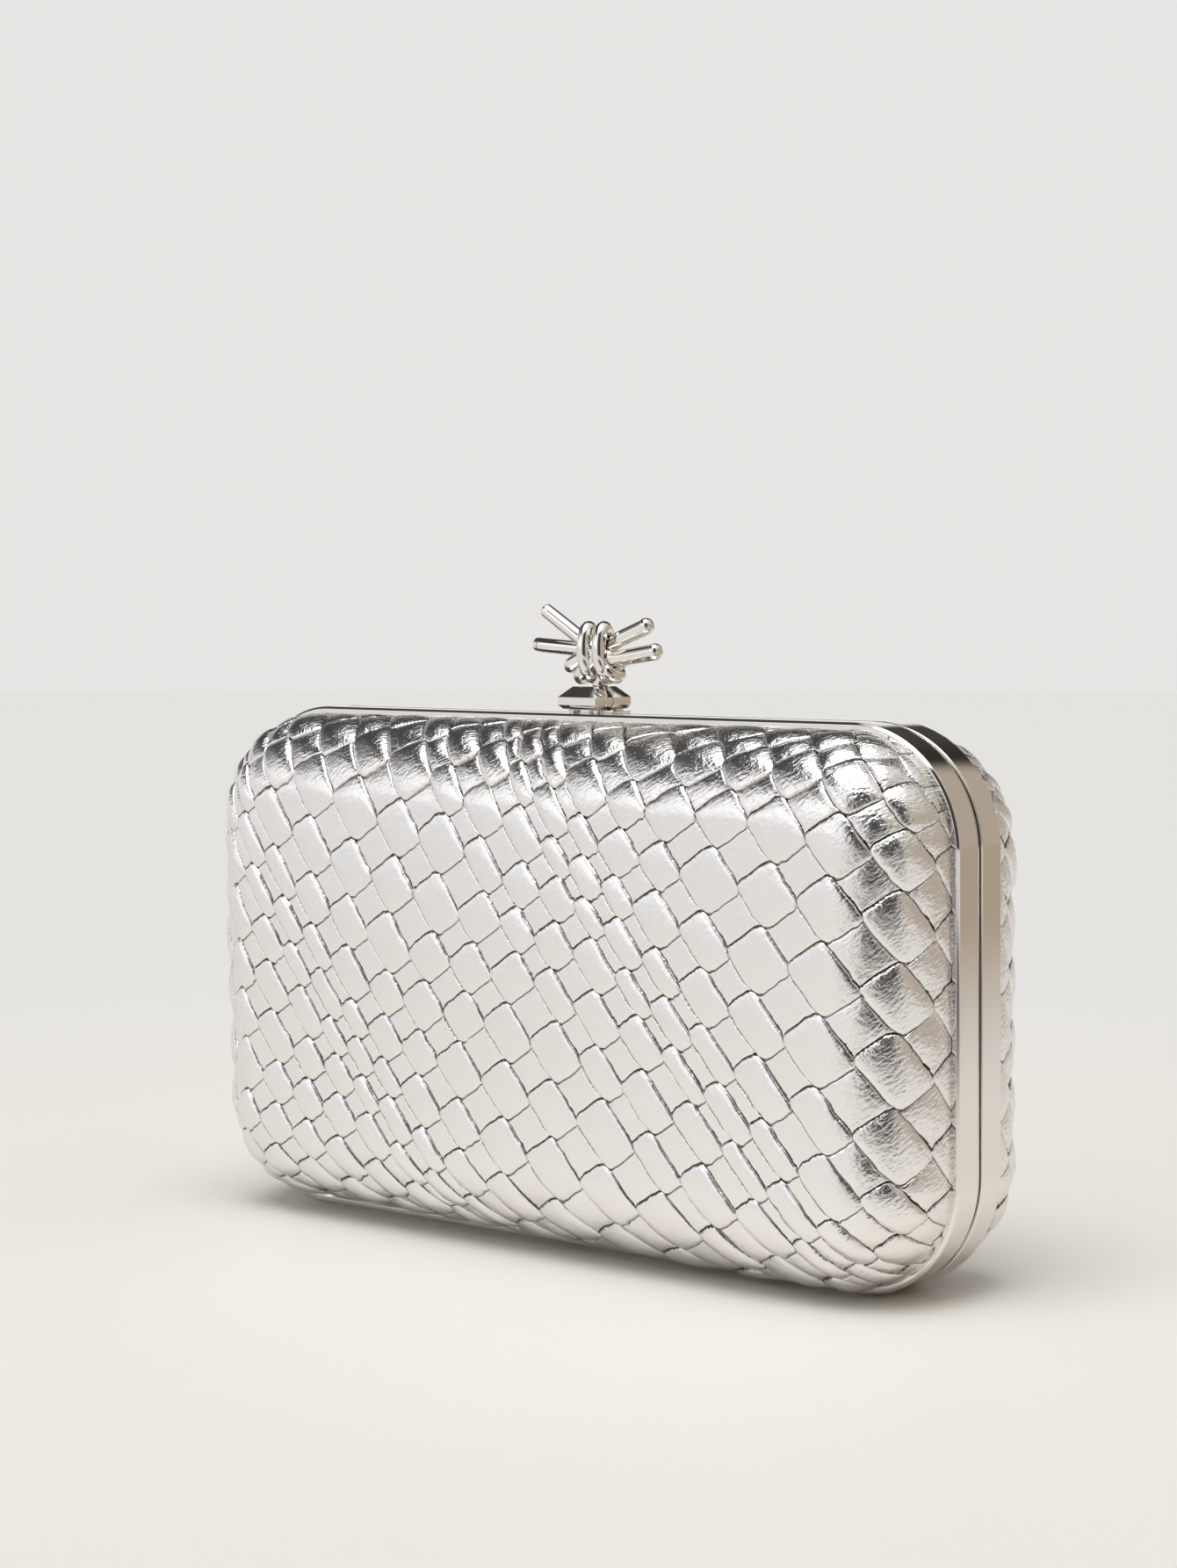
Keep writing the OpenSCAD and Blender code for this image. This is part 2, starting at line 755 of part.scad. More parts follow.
module knot() {
    color("Silver") difference() {
        union() {
            translate([0, knot_y, knot_z]) resize([knot_w, 0, 0]) {
                tube(from_shares(rising_shares), strand_r, swell_share);
                tube(from_shares(level_shares), strand_r, swell_share);
                tube(wrap_route(), wrap_r);
                for (k = [0:len(loop_turns) - 1]) tube(loop_route(k), wrap_r);
            }
            translate([0, foot_y, 0]) {
                post(foot_d, block_top + seat, foot_top);
                post(spigot_d, block_top - spigot_h + seat, block_top + 2 * seat);
            }
        }
        translate([0, foot_y, 0]) post(screw_d + 2 * fixed_play, block_top - spigot_h, screw_top);
    }
}

back_rim();
back_cover();
back_padding();
back_shell();
back_lining();
back_hinge_leaves();
back_hinge_rivets();
hinge_pins();
lip_strips();
clasp_base();
clasp_rivets();
tilt_pin();
return_spring();
front_rim();
front_cover();
front_padding();
front_shell();
front_lining();
front_hinge_leaves();
front_hinge_rivets();
catch_block();
catch_studs();
catch_spring();
lever_block();
knot();
knot_screw();
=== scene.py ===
# %% [markdown]
# # A hard clutch bag: woven silver leather, nickel rims and a knot clasp
#
# The bag is two shallow dishes, hinged at the bottom and held shut by a clasp on top. Each dish has a metal
# rim, and its panel is metallic leather over thin foam, a stiff shell and a suede lining. The measured solids
# of the bag are loaded as a fixed frame. This notebook models what the eye sees around that frame: first the
# camera, the light and the finishes, then the rims, the leather, the lining and the clasp.

# %% Load the measured frame
import math

import bpy
import numpy as np
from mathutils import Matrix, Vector


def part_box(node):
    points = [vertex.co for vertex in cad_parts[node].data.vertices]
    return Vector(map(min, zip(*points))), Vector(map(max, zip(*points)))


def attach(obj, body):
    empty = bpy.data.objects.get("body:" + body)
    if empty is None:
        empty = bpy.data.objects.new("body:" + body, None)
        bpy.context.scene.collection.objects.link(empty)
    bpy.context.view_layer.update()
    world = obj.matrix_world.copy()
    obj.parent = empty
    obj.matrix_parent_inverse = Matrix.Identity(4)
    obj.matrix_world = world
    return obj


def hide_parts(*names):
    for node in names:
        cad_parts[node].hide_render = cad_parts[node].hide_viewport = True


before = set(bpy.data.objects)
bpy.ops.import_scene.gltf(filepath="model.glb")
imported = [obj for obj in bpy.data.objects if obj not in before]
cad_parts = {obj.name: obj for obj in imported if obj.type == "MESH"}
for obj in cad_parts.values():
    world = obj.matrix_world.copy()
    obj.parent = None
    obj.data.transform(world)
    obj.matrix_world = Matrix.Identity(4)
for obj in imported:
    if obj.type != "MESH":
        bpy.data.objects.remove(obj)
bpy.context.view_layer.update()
MM = 0.001
print("pieces in the frame:", len(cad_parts))

# %% [markdown]
# ## Sizes that everything follows
#
# Most sizes can be read from the frame, so nothing has to be fitted later. A box can't tell how round a
# corner is or how thick the leather is, so those few are written here.

# %% Driving sizes
rim_low, rim_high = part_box("front_rim")
cover_low, cover_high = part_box("front_cover")
HALF_W = rim_high.x
FRAME_H = rim_high.z
MIDDLE_Z = FRAME_H / 2
RIM_DEPTH = -rim_low.y
PANEL_DEPTH = -cover_low.y
COVER_INSET = HALF_W - cover_high.x
PANEL_SEAT = -cover_high.y
CORNER_R = 24 * MM
DOME_RUN = 18 * MM
CROWN = 1.5 * MM
LEATHER_T = 1.2 * MM
print("half width", round(HALF_W / MM, 2), "height", round(FRAME_H / MM, 2),
      "rim depth", round(RIM_DEPTH / MM, 2))

# %% [markdown]
# ## The camera
#
# The bag was photographed from its right, a little above it, with a long lens. Lines that run up stay upright
# in the picture, so the camera is level and its frame is shifted down instead of tilted.

# %% Camera
CAMERA_AT = (0.4118, -0.4973, 0.1321)
CAMERA_TURN = math.radians(40.21)
LENS = 71.66
SENSOR = 36
SHIFT_RIGHT = 0.0165
SHIFT_UP = -0.1166

bpy.ops.object.camera_add(location=CAMERA_AT, rotation=(math.pi / 2, 0, CAMERA_TURN))
camera = bpy.context.object
camera.name = "photo_camera"
camera.data.lens = LENS
camera.data.sensor_width = SENSOR
camera.data.shift_x = SHIFT_RIGHT
camera.data.shift_y = SHIFT_UP
camera.data.clip_start = 0.01
bpy.context.scene.camera = camera
print("camera distance in m:", round(Vector(CAMERA_AT).length, 3))

# %% [markdown]
# ## Shader maths that reads like maths
#
# A procedural material is a small calculation. Written as nodes and links it is hard to follow, so one class
# wraps a socket and adds a Math node for each plus, minus or times. Every other kind of node comes from a
# single function that sets its options first and its inputs after.

# %% Shader helper
class Value:
    """The output socket of a shader node, which can be used in sums."""

    def __init__(self, tree, socket):
        self.tree = tree
        self.socket = socket

    def math(self, operation, *others):
        n = self.tree.nodes.new("ShaderNodeMath")
        n.operation = operation
        for place, value in enumerate((self, *others)):
            connect(self.tree, value, n.inputs[place])
        return Value(self.tree, n.outputs[0])

    def __add__(self, other): return self.math("ADD", other)
    def __sub__(self, other): return self.math("SUBTRACT", other)
    def __mul__(self, other): return self.math("MULTIPLY", other)
    def __radd__(self, other): return self.math("ADD", other)
    def __rmul__(self, other): return self.math("MULTIPLY", other)
    def __rsub__(self, other): return (self * -1).math("ADD", other)

    def step(self, low, high):
        """0 below low, 1 above high, and smooth in between."""
        return shade(self.tree, "ShaderNodeMapRange", {"interpolation_type": "SMOOTHSTEP"},
                     {"Value": self, "From Min": low, "From Max": high})


def connect(tree, value, socket):
    if isinstance(value, Value):
        tree.links.new(value.socket, socket)
    else:
        socket.default_value = value


def shade(tree, kind, settings=None, inputs=None, out=0):
    """Adds a node of any kind: its settings first, then the values or links of its sockets."""
    n = tree.nodes.new(kind)
    for name, value in (settings or {}).items():
        setattr(n, name, value)
    for name, value in (inputs or {}).items():
        connect(tree, value, n.inputs[name])
    return Value(tree, n.outputs[out])


print("shader helper ready")

# %% [markdown]
# Every finish is built from the same few things: noise, a blend of two colours and a bump. A short function
# for each keeps the materials easy to read.

# %% Shorthands for the finishes
def vector_math(tree, operation, *vectors, out="Vector"):
    return shade(tree, "ShaderNodeVectorMath", {"operation": operation}, dict(enumerate(vectors)), out)


def own_place(tree):
    """Where a point lies in the coordinates of its object."""
    return shade(tree, "ShaderNodeTexCoord", out="Object")


def noise(tree, where, scale, detail, **more):
    return shade(tree, "ShaderNodeTexNoise", None,
                 {"Vector": where, "Scale": scale, "Detail": detail, **more})


def blend(tree, share, first, second):
    """The first colour where share is 0, and the second where it is 1."""
    return shade(tree, "ShaderNodeMix", {"data_type": "RGBA"}, {0: share, 6: first, 7: second}, 2)


def bumped(tree, height, strength, distance):
    return shade(tree, "ShaderNodeBump", None, {"Height": height, "Strength": strength, "Distance": distance})


def new_material(name):
    """A material with an empty node tree, and that tree."""
    material = bpy.data.materials.new(name)
    material.use_nodes = True
    material.node_tree.nodes.clear()
    return material, material.node_tree


def finish_material(tree, **inputs):
    """Ends a tree in a Principled shader; names use _ for a space."""
    surface = shade(tree, "ShaderNodeBsdfPrincipled", None,
                    {name.replace("_", " "): value for name, value in inputs.items()})
    shade_out = tree.nodes.new("ShaderNodeOutputMaterial")
    tree.links.new(surface.socket, shade_out.inputs["Surface"])


print("shorthands ready")

# %% [markdown]
# ## Light
#
# Polished metal and metallic leather show their surroundings more than their own colour. Lamps would leave
# most of that mirror image black, so the light is a sky painted round the bag: pale walls, a soft box low on
# the front left and a bright light overhead. Dark patches on the left, behind and on the front right give the
# metal its dark lines, and the warm right side tints the rims. The camera itself sees a plain pale wall.

# %% Sky
WALL_SEEN = (0.80, 0.79, 0.77, 1)
WARM_WALL = (1.0, 0.88, 0.74, 1)
COOL_WHITE = (1.0, 1.0, 1.0, 1)
# Patches in degrees: azimuth, half width and soft edge, then the heights where each starts, is full and ends
SOFT_BOX = (-30, 22, 14), (7, 14, 32, 40)
LEFT_DARK = (-85, 50, 22), (31, 39, 57, 63)
LEFT_GREY = (-95, 42, 16), (13, 24, 31, 39)
BACK_DARK = (222, 44, 12), (14, 20, 57, 63)
FRONT_DARK = (42, 19, 9), (-9, -1, 54, 62)
RIGHT_WARM = (128, 52, 18)
RIGHT_WARM_TOP = (0.5, 0.75)
# The light overhead: its direction, and the angles from it where its light begins and is full
TOP_AT = (0.05, -0.26, 0.964)
TOP_EDGE = (27, 17)
WALL_LEVEL = 0.85
SOFT_BOX_LEVEL = 0.4
TOP_LEVEL = 4.2
DARK_SHARE = 0.93
GREY_SHARE = 0.8
WARM_SHARE = 0.42


def cosines(*degrees):
    return [math.cos(math.radians(d)) for d in degrees]


def toward(azimuth, width, soft):
    """1 where a direction lies within width degrees of an azimuth, counted from the front to the right."""
    a = math.radians(azimuth)
    flat = vector_math(sky, "MULTIPLY", direction, (1, 1, 0))
    flat = vector_math(sky, "NORMALIZE", flat)
    along = vector_math(sky, "DOT_PRODUCT", flat, (math.sin(a), -math.cos(a), 0), out="Value")
    return along.step(*cosines(width + soft, width))


def band(low, low_full, high_full, high):
    """1 between two heights above the horizon, given in degrees, with soft ends."""
    low, low_full, high_full, high = [math.sin(math.radians(d)) for d in (low, low_full, high_full, high)]
    return height.step(low, low_full) * (1 - height.step(high_full, high))


def patch(azimuths, heights):
    return toward(*azimuths) * band(*heights)


world = bpy.data.worlds.new("soft_studio")
bpy.context.scene.world = world
world.use_nodes = True
sky = world.node_tree
sky.nodes.clear()
direction = shade(sky, "ShaderNodeTexCoord", out="Generated")
height = shade(sky, "ShaderNodeSeparateXYZ", None, {0: direction}, "Z")
top_light = vector_math(sky, "DOT_PRODUCT", direction, TOP_AT, out="Value").step(*cosines(*TOP_EDGE))
soft_box = patch(*SOFT_BOX)
dark = patch(*LEFT_DARK)
for other in (patch(*BACK_DARK), patch(*FRONT_DARK), patch(*LEFT_GREY) * GREY_SHARE):
    dark = dark.math("MAXIMUM", other)
right_warm = toward(*RIGHT_WARM) * (1 - height.step(*RIGHT_WARM_TOP))
walls = WALL_LEVEL * (1 - dark * DARK_SHARE) * (1 - right_warm * WARM_SHARE)
level = walls + soft_box * SOFT_BOX_LEVEL + top_light * TOP_LEVEL
tint = blend(sky, right_warm, COOL_WHITE, WARM_WALL)
lamp_glow = shade(sky, "ShaderNodeBackground", None, {"Color": tint, "Strength": level})
seen_wall = shade(sky, "ShaderNodeBackground", None, {"Color": WALL_SEEN, "Strength": 1.0})
is_camera = shade(sky, "ShaderNodeLightPath", out="Is Camera Ray")
both = shade(sky, "ShaderNodeMixShader", None, {0: is_camera, 1: lamp_glow, 2: seen_wall})
sky_out = sky.nodes.new("ShaderNodeOutputWorld")
sky.links.new(both.socket, sky_out.inputs["Surface"])
bpy.context.scene.view_settings.view_transform = "Standard"
print("sky nodes:", len(sky.nodes))

# %% [markdown]
# ## The floor
#
# The bag stands on a pale surface, a little creamier near it than far away. The bag's lower half mirrors that
# floor, and in the photograph its right side mirrors something beige and something dark as well. Both are
# painted into the floor's colour, where only reflections see them.

# %% Floor
FLOOR_R = 4.0
FLOOR_NEAR = (0.80, 0.775, 0.72, 1)
FLOOR_FAR = (0.755, 0.745, 0.725, 1)
BEIGE = (0.40, 0.325, 0.25, 1)
BEIGE_RIGHT = (0.2, 0.5)
BEIGE_BACK = (0.0, 0.3)
DARK = (0.10, 0.095, 0.09, 1)
DARK_AT = (0.40, -0.42, 0)
DARK_EDGE = (0.16, 0.36)

floor_finish, tree = new_material("pale_floor")
place = own_place(tree)
far = vector_math(tree, "LENGTH", place, out="Value").step(0.10, 0.45)
right, back = [shade(tree, "ShaderNodeSeparateXYZ", None, {0: place}, axis) for axis in "XY"]
mirrored = 1 - shade(tree, "ShaderNodeLightPath", out="Is Camera Ray")
in_beige = right.step(*BEIGE_RIGHT) * back.step(*BEIGE_BACK)
in_dark = 1 - vector_math(tree, "DISTANCE", place, DARK_AT, out="Value").step(*DARK_EDGE)
pale = blend(tree, far, FLOOR_NEAR, FLOOR_FAR)
beige = blend(tree, mirrored * in_beige, pale, BEIGE)
finish_material(tree, Base_Color=blend(tree, mirrored * in_dark, beige, DARK), Roughness=0.55)

bpy.ops.mesh.primitive_circle_add(vertices=128, radius=FLOOR_R, fill_type="NGON", location=(0, 0, 0))
floor = bpy.context.object
floor.name = "floor"
floor.data.materials.append(floor_finish)
print("floor radius in m:", FLOOR_R)

# %% [markdown]
# ## Finishes
#
# Nickel plate is a slightly warm mirror. What makes it look real is that it is never perfectly clean or flat:
# the roughness wanders a little, and a very weak bump bends the reflections.

# %% Metals
def metal(name, colour, roughness, spread, grain_size, grain):
    """A metal whose roughness wanders, with a faint uneven surface."""
    material, tree = new_material(name)
    place = own_place(tree)
    cloud = noise(tree, place, 60.0, 3.0)
    tone = blend(tree, cloud, (*colour, 1), (*[c * 0.96 for c in colour], 1))
    bump = bumped(tree, noise(tree, place, 1 / grain_size, 2.0), 0.35, grain)
    wandering = cloud * spread + (roughness - spread / 2)
    finish_material(tree, Base_Color=tone, Metallic=1.0, Roughness=wandering, Normal=bump)
    return material


nickel = metal("polished_nickel_plate", (0.83, 0.80, 0.76), 0.075, 0.04, 2 * MM, 0.004 * MM)
hinge_steel = metal("satin_hinge_steel", (0.62, 0.61, 0.60), 0.30, 0.12, 0.5 * MM, 0.01 * MM)
rivet_steel = metal("turned_rivet_steel", (0.68, 0.67, 0.65), 0.22, 0.10, 0.4 * MM, 0.008 * MM)
spring_steel = metal("blued_spring_steel", (0.42, 0.44, 0.50), 0.26, 0.10, 0.6 * MM, 0.008 * MM)
print("metals:", nickel.name, hinge_steel.name, rivet_steel.name, spring_steel.name)

# %% [markdown]
# ## Modelling helpers
#
# Operators act on whatever is selected, and the frame comes in with all its pieces selected. So each step
# starts by clearing the selection, and faces or edges are then picked by where they are.

# %% Selection and modifiers
def start_clean():
    """Leaves edit mode and selects nothing."""
    if bpy.context.object and bpy.context.object.mode != "OBJECT":
        bpy.ops.object.mode_set(mode="OBJECT")
    bpy.ops.object.select_all(action="DESELECT")


def make_active(piece):
    start_clean()
    piece.select_set(True)
    bpy.context.view_layer.objects.active = piece


def add_piece(name, data):
    """Adds a mesh or curve to the scene as the active object."""
    piece = bpy.data.objects.new(name, data)
    bpy.context.scene.collection.objects.link(piece)
    make_active(piece)
    return piece


def edit_all():
    """Opens the active mesh with everything in it selected."""
    bpy.ops.object.mode_set(mode="EDIT")
    bpy.ops.mesh.select_all(action="SELECT")


def smooth(piece, angle):
    """Shades a piece smooth, except at edges sharper than an angle in degrees."""
    make_active(piece)
    bpy.ops.object.shade_smooth_by_angle(angle=math.radians(angle))


def pick_faces(piece, test):
    """Selects only the faces whose middle passes the test, and returns how many there are."""
    bpy.ops.mesh.select_all(action="DESELECT")
    bpy.ops.object.mode_set(mode="OBJECT")
    for face in piece.data.polygons:
        face.select = bool(test(face.center))
    count = sum(face.select for face in piece.data.polygons)
    bpy.ops.object.mode_set(mode="EDIT")
    return count


def apply_modifier(piece, kind, **settings):
    make_active(piece)
    bpy.ops.object.modifier_add(type=kind)
    modifier = piece.modifiers[-1]
    for name, value in settings.items():
        setattr(modifier, name, value)
    bpy.ops.object.modifier_apply(modifier=modifier.name)


def settle(piece):
    """Puts a piece's place and size into its mesh, so that its object sits at the origin."""
    make_active(piece)
    bpy.ops.object.transform_apply(location=True, rotation=True, scale=True)


def soften_edges(piece, width, segments=2, angle=30):
    apply_modifier(piece, "BEVEL", width=width, segments=segments, limit_method="ANGLE",
                   angle_limit=math.radians(angle), harden_normals=False)
    smooth(piece, angle)


def dress(piece, material, body, slot, *stands_for):
    """Gives a finished piece its material and the body it moves with, and hides the solids it stands for."""
    piece.data.materials.clear()
    piece.data.materials.append(material)
    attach(piece, body)
    if stands_for:
        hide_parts(*stands_for)
    print(piece.name, "faces:", len(piece.data.polygons))


print("modelling helpers ready")

# %% [markdown]
# ## The rims
#
# Each rim is one strip of metal with the same section all the way round: a thin wall, a ledge inside that
# carries the panel, a bevel at the open edge and half of the groove between the two rims. The section is
# drawn once as a flat face. It is then drawn out along the straight sides and spun round the four corners,
# which is how such a strip is bent.

# %% Rim section and sweep
RIM_WALL = 1.5 * MM
EDGE_BEVEL = 0.5 * MM
SLOT_HALF = 0.3 * MM
GROOVE_W = 0.65 * MM
GROOVE_D = 0.8 * MM
LEDGE_REACH = 5.8 * MM
LEDGE_NEAR = 4.2 * MM
LEDGE_FAR = 5.2 * MM
CORNER_STEPS = 24
MERGE = 0.002 * MM

rim_section = [
    (GROOVE_D, SLOT_HALF), (GROOVE_D, GROOVE_W), (GROOVE_W / 4, GROOVE_W), (0, GROOVE_W * 1.25),
    (0, RIM_DEPTH - EDGE_BEVEL), (EDGE_BEVEL, RIM_DEPTH), (RIM_WALL, RIM_DEPTH), (RIM_WALL, LEDGE_FAR),
    (LEDGE_REACH, LEDGE_FAR), (LEDGE_REACH, LEDGE_NEAR), (RIM_WALL, LEDGE_NEAR), (RIM_WALL, SLOT_HALF),
]


def model_rim(name, side):
    """A rim on one side of the parting plane: -1 is the front, 1 is the back."""
    start_clean()
    bpy.ops.mesh.primitive_circle_add(vertices=len(rim_section), fill_type="NGON", location=(0, 0, 0))
    rim = bpy.context.object
    rim.name = name
    for vertex, (inset, depth) in zip(rim.data.vertices, rim_section):
        vertex.co = (HALF_W - inset, side * depth, CORNER_R)
    edit_all()
    straight = [(0, 0, FRAME_H - 2 * CORNER_R), (-2 * (HALF_W - CORNER_R), 0, 0)]
    corners = [(HALF_W - CORNER_R, FRAME_H - CORNER_R), (CORNER_R - HALF_W, FRAME_H - CORNER_R),
               (CORNER_R - HALF_W, CORNER_R), (HALF_W - CORNER_R, CORNER_R)]
    for turn, (x, z) in enumerate(corners):
        way = Vector(straight[turn % 2]) * (1 if turn < 2 else -1)
        bpy.ops.mesh.extrude_region_move(TRANSFORM_OT_translate={"value": way})
        bpy.ops.mesh.spin(steps=CORNER_STEPS, angle=math.pi / 2, center=(x, 0, z), axis=(0, 1, 0))
    ends = pick_faces(rim, lambda c: abs(c.z - CORNER_R) < 1e-6 and c.x > 0)
    bpy.ops.mesh.delete(type="ONLY_FACE")
    bpy.ops.mesh.select_all(action="SELECT")
    bpy.ops.mesh.remove_doubles(threshold=MERGE)
    bpy.ops.mesh.normals_make_consistent(inside=False)
    bpy.ops.object.mode_set(mode="OBJECT")
    print(name, "end faces removed:", ends, "open edges:", open_edges(rim))
    return rim


def open_edges(piece):
    """How many edges have only one face, which is 0 on a closed piece."""
    uses = {}
    for face in piece.data.polygons:
        for key in face.edge_keys:
            uses[key] = uses.get(key, 0) + 1
    return sum(1 for count in uses.values() if count == 1)


front_rim = model_rim("front_rim_plated", -1)
back_rim = model_rim("back_rim_plated", 1)

# %% [markdown]
# The rims also need room for the two hinges at the bottom, and a slope under the hinge line so that they can
# turn away from each other. A cutter with the shape of that room is taken away with a Boolean. A narrow bevel
# comes first, because every polished edge catches the light.

# %% Hinge room
HINGE_X = 45 * MM
HINGE_LEN = 24 * MM
HINGE_PLAY = 0.2 * MM
BARREL_R = 1.4 * MM
HINGE_Z = BARREL_R + 0.1 * MM
OPEN_HALF = math.radians(41)
OVER = 0.5 * MM
EDGE_SOFT = 0.14 * MM


def cut_away(piece, cutter):
    apply_modifier(piece, "BOOLEAN", operation="DIFFERENCE", solver="EXACT", object=cutter)
    bpy.data.objects.remove(cutter)


def hinge_room(x):
    start_clean()
    bpy.ops.mesh.primitive_cylinder_add(
        vertices=32, radius=BARREL_R + HINGE_PLAY, depth=HINGE_LEN + 2 * HINGE_PLAY,
        location=(x, 0, HINGE_Z), rotation=(0, math.pi / 2, 0))
    settle(bpy.context.object)
    return bpy.context.object


def opening_slope(side):
    """A wedge under the hinge line, made from a cube whose top edge is drawn together."""
    start_clean()
    drop = HINGE_Z + OVER
    bpy.ops.mesh.primitive_cube_add(size=2, location=(0, 0, 0))
    wedge = bpy.context.object
    for vertex in wedge.data.vertices:
        far = vertex.co.y * side > 0 and vertex.co.z < 0
        y = drop * math.tan(OPEN_HALF) if far else (0 if vertex.co.y * side > 0 else -OVER)
        vertex.co = (vertex.co.x * HALF_W, y * side, HINGE_Z if vertex.co.z > 0 else -OVER)
    return wedge


for rim, side in ((front_rim, -1), (back_rim, 1)):
    soften_edges(rim, EDGE_SOFT, 2, 40)
    for x in (-HINGE_X, HINGE_X):
        cut_away(rim, hinge_room(x))
    cut_away(rim, opening_slope(side))
    smooth(rim, 35)
    apply_modifier(rim, "WEIGHTED_NORMAL", keep_sharp=True)
dress(front_rim, nickel, "front_half", "polished_nickel", "front_rim")
dress(back_rim, nickel, "back_half", "polished_nickel", "back_rim")

# %% [markdown]
# ## Weaving the leather
#
# The cover looks like flat leather strips that pass over and under each other, pressed into one soft sheet.
# The long strips run down to the right, the short ones cross them, and both come in uneven widths: a few
# narrow strips lie together, with broad ones between. Real ribbons could be woven, but half of their length
# would be hidden, and they would cut into each other at every crossing. Here the sheet is one mesh whose lines
# follow the edges of the strips, so every crease is sharp. It is planned flat, in millimetres along and across
# the long strips, and each crossing is one tile.

# %% Strip widths
LONG_WIDTHS = [8.0, 8.6, 8.2, 8.4, 8.0, 7.4, 6.4, 5.8, 5.7, 5.9, 4.9, 3.5, 4.1, 3.8, 6.2, 6.5, 7.9, 8.3, 7.8,
               8.7, 5.5, 6.6, 5.8, 3.4, 4.4, 4.1, 6.8, 6.7, 9.5, 9.4, 9.0, 8.8, 8.4, 7.8, 6.2, 5.0, 4.0, 4.4,
               5.2]
CROSS_WIDTHS = [9.0, 9.2, 9.5, 9.8, 10.2, 11.0, 10.7, 9.1, 9.0, 9.8, 7.2, 7.2, 7.3, 9.3, 9.0, 9.2, 10.8,
                10.7, 11.2, 11.0, 10.0, 9.4, 9.0, 8.6, 8.0]
LONG_START = -129.0
CROSS_START = -116.7
LONG_TURN = math.radians(-57)
CROSS_TURN = math.radians(32)
TILE_STEPS = (16, 14)


def strip_lines(widths, start, steps):
    """Each mesh line's strip and place in it from -1 to 1, and the strips' middles and half widths."""
    half = steps // 2
    fine = 1 - (1 - np.arange(half + 1) / half) ** 3
    places = np.concatenate([-fine[::-1], fine[1:]])
    strip = np.repeat(np.arange(len(widths)), steps)
    place = np.tile(places[:-1], len(widths))
    edges = start + np.concatenate([[0], np.cumsum(widths)])
    return strip, place, (edges[:-1] + edges[1:]) / 2, np.asarray(widths) / 2


print("long strips:", len(LONG_WIDTHS), "cross strips:", len(CROSS_WIDTHS))

# %% [markdown]
# A long strip on top is a broad tile with round corners that reaches over its neighbours on all sides. A cross
# strip on top is the small, lower square that is left between them. Every tile is almost flat, with a soft
# shoulder near its edge and then a steep drop to the line between the tiles. On the rounded side of the panel
# the tiles stand puffier and less level. Small random changes keep the weave from looking stamped.

# %% Tile relief
OVER_TOP = 0.47
OVER_CROWN = 0.26
NARROW_CROWN = 0.12
UNDER_TOP = 0.20
UNDER_CROWN = 0.10
END_LINE = -0.10
SIDE_LINE = -0.14
KNOT_LINE = -0.25
END_BULGE = 1.0
SIDE_BULGE = 0.42
WOBBLE = 0.10
FACE_TILT = 0.045
SIDE_PUFF = 0.50
SIDE_TILT = 0.10
BULGE_VARIES = 0.18
HEIGHT_VARIES = 0.14
# How a tile falls off at an edge: the share lost in its soft shoulder, and the widths of shoulder and drop
OVER_END = (0.44, 1.7, 0.22)
OVER_SIDE = (0.42, 1.1, 0.13)
UNDER_END = (0.14, 0.5, 0.14)
UNDER_SIDE = (0.30, 1.0, 0.2)


def edge_loss(distance, shoulder, shoulder_w, drop_w):
    """Share of a tile's height that is lost near an edge: a soft shoulder, then a steep drop."""
    soft = (1 - np.clip(distance / shoulder_w, 0, 1)) ** 2
    steep = (1 - np.clip(distance / drop_w, 0, 1)) ** 1.5
    return shoulder * soft + (1 - shoulder) * steep


def near(distance, reach):
    return 1 - np.clip(distance / reach, 0, 1)


def corner_curve(place, sharpness):
    """1 along an edge, falling to 0 at its two corners."""
    return np.sqrt(1 - np.abs(place) ** sharpness)


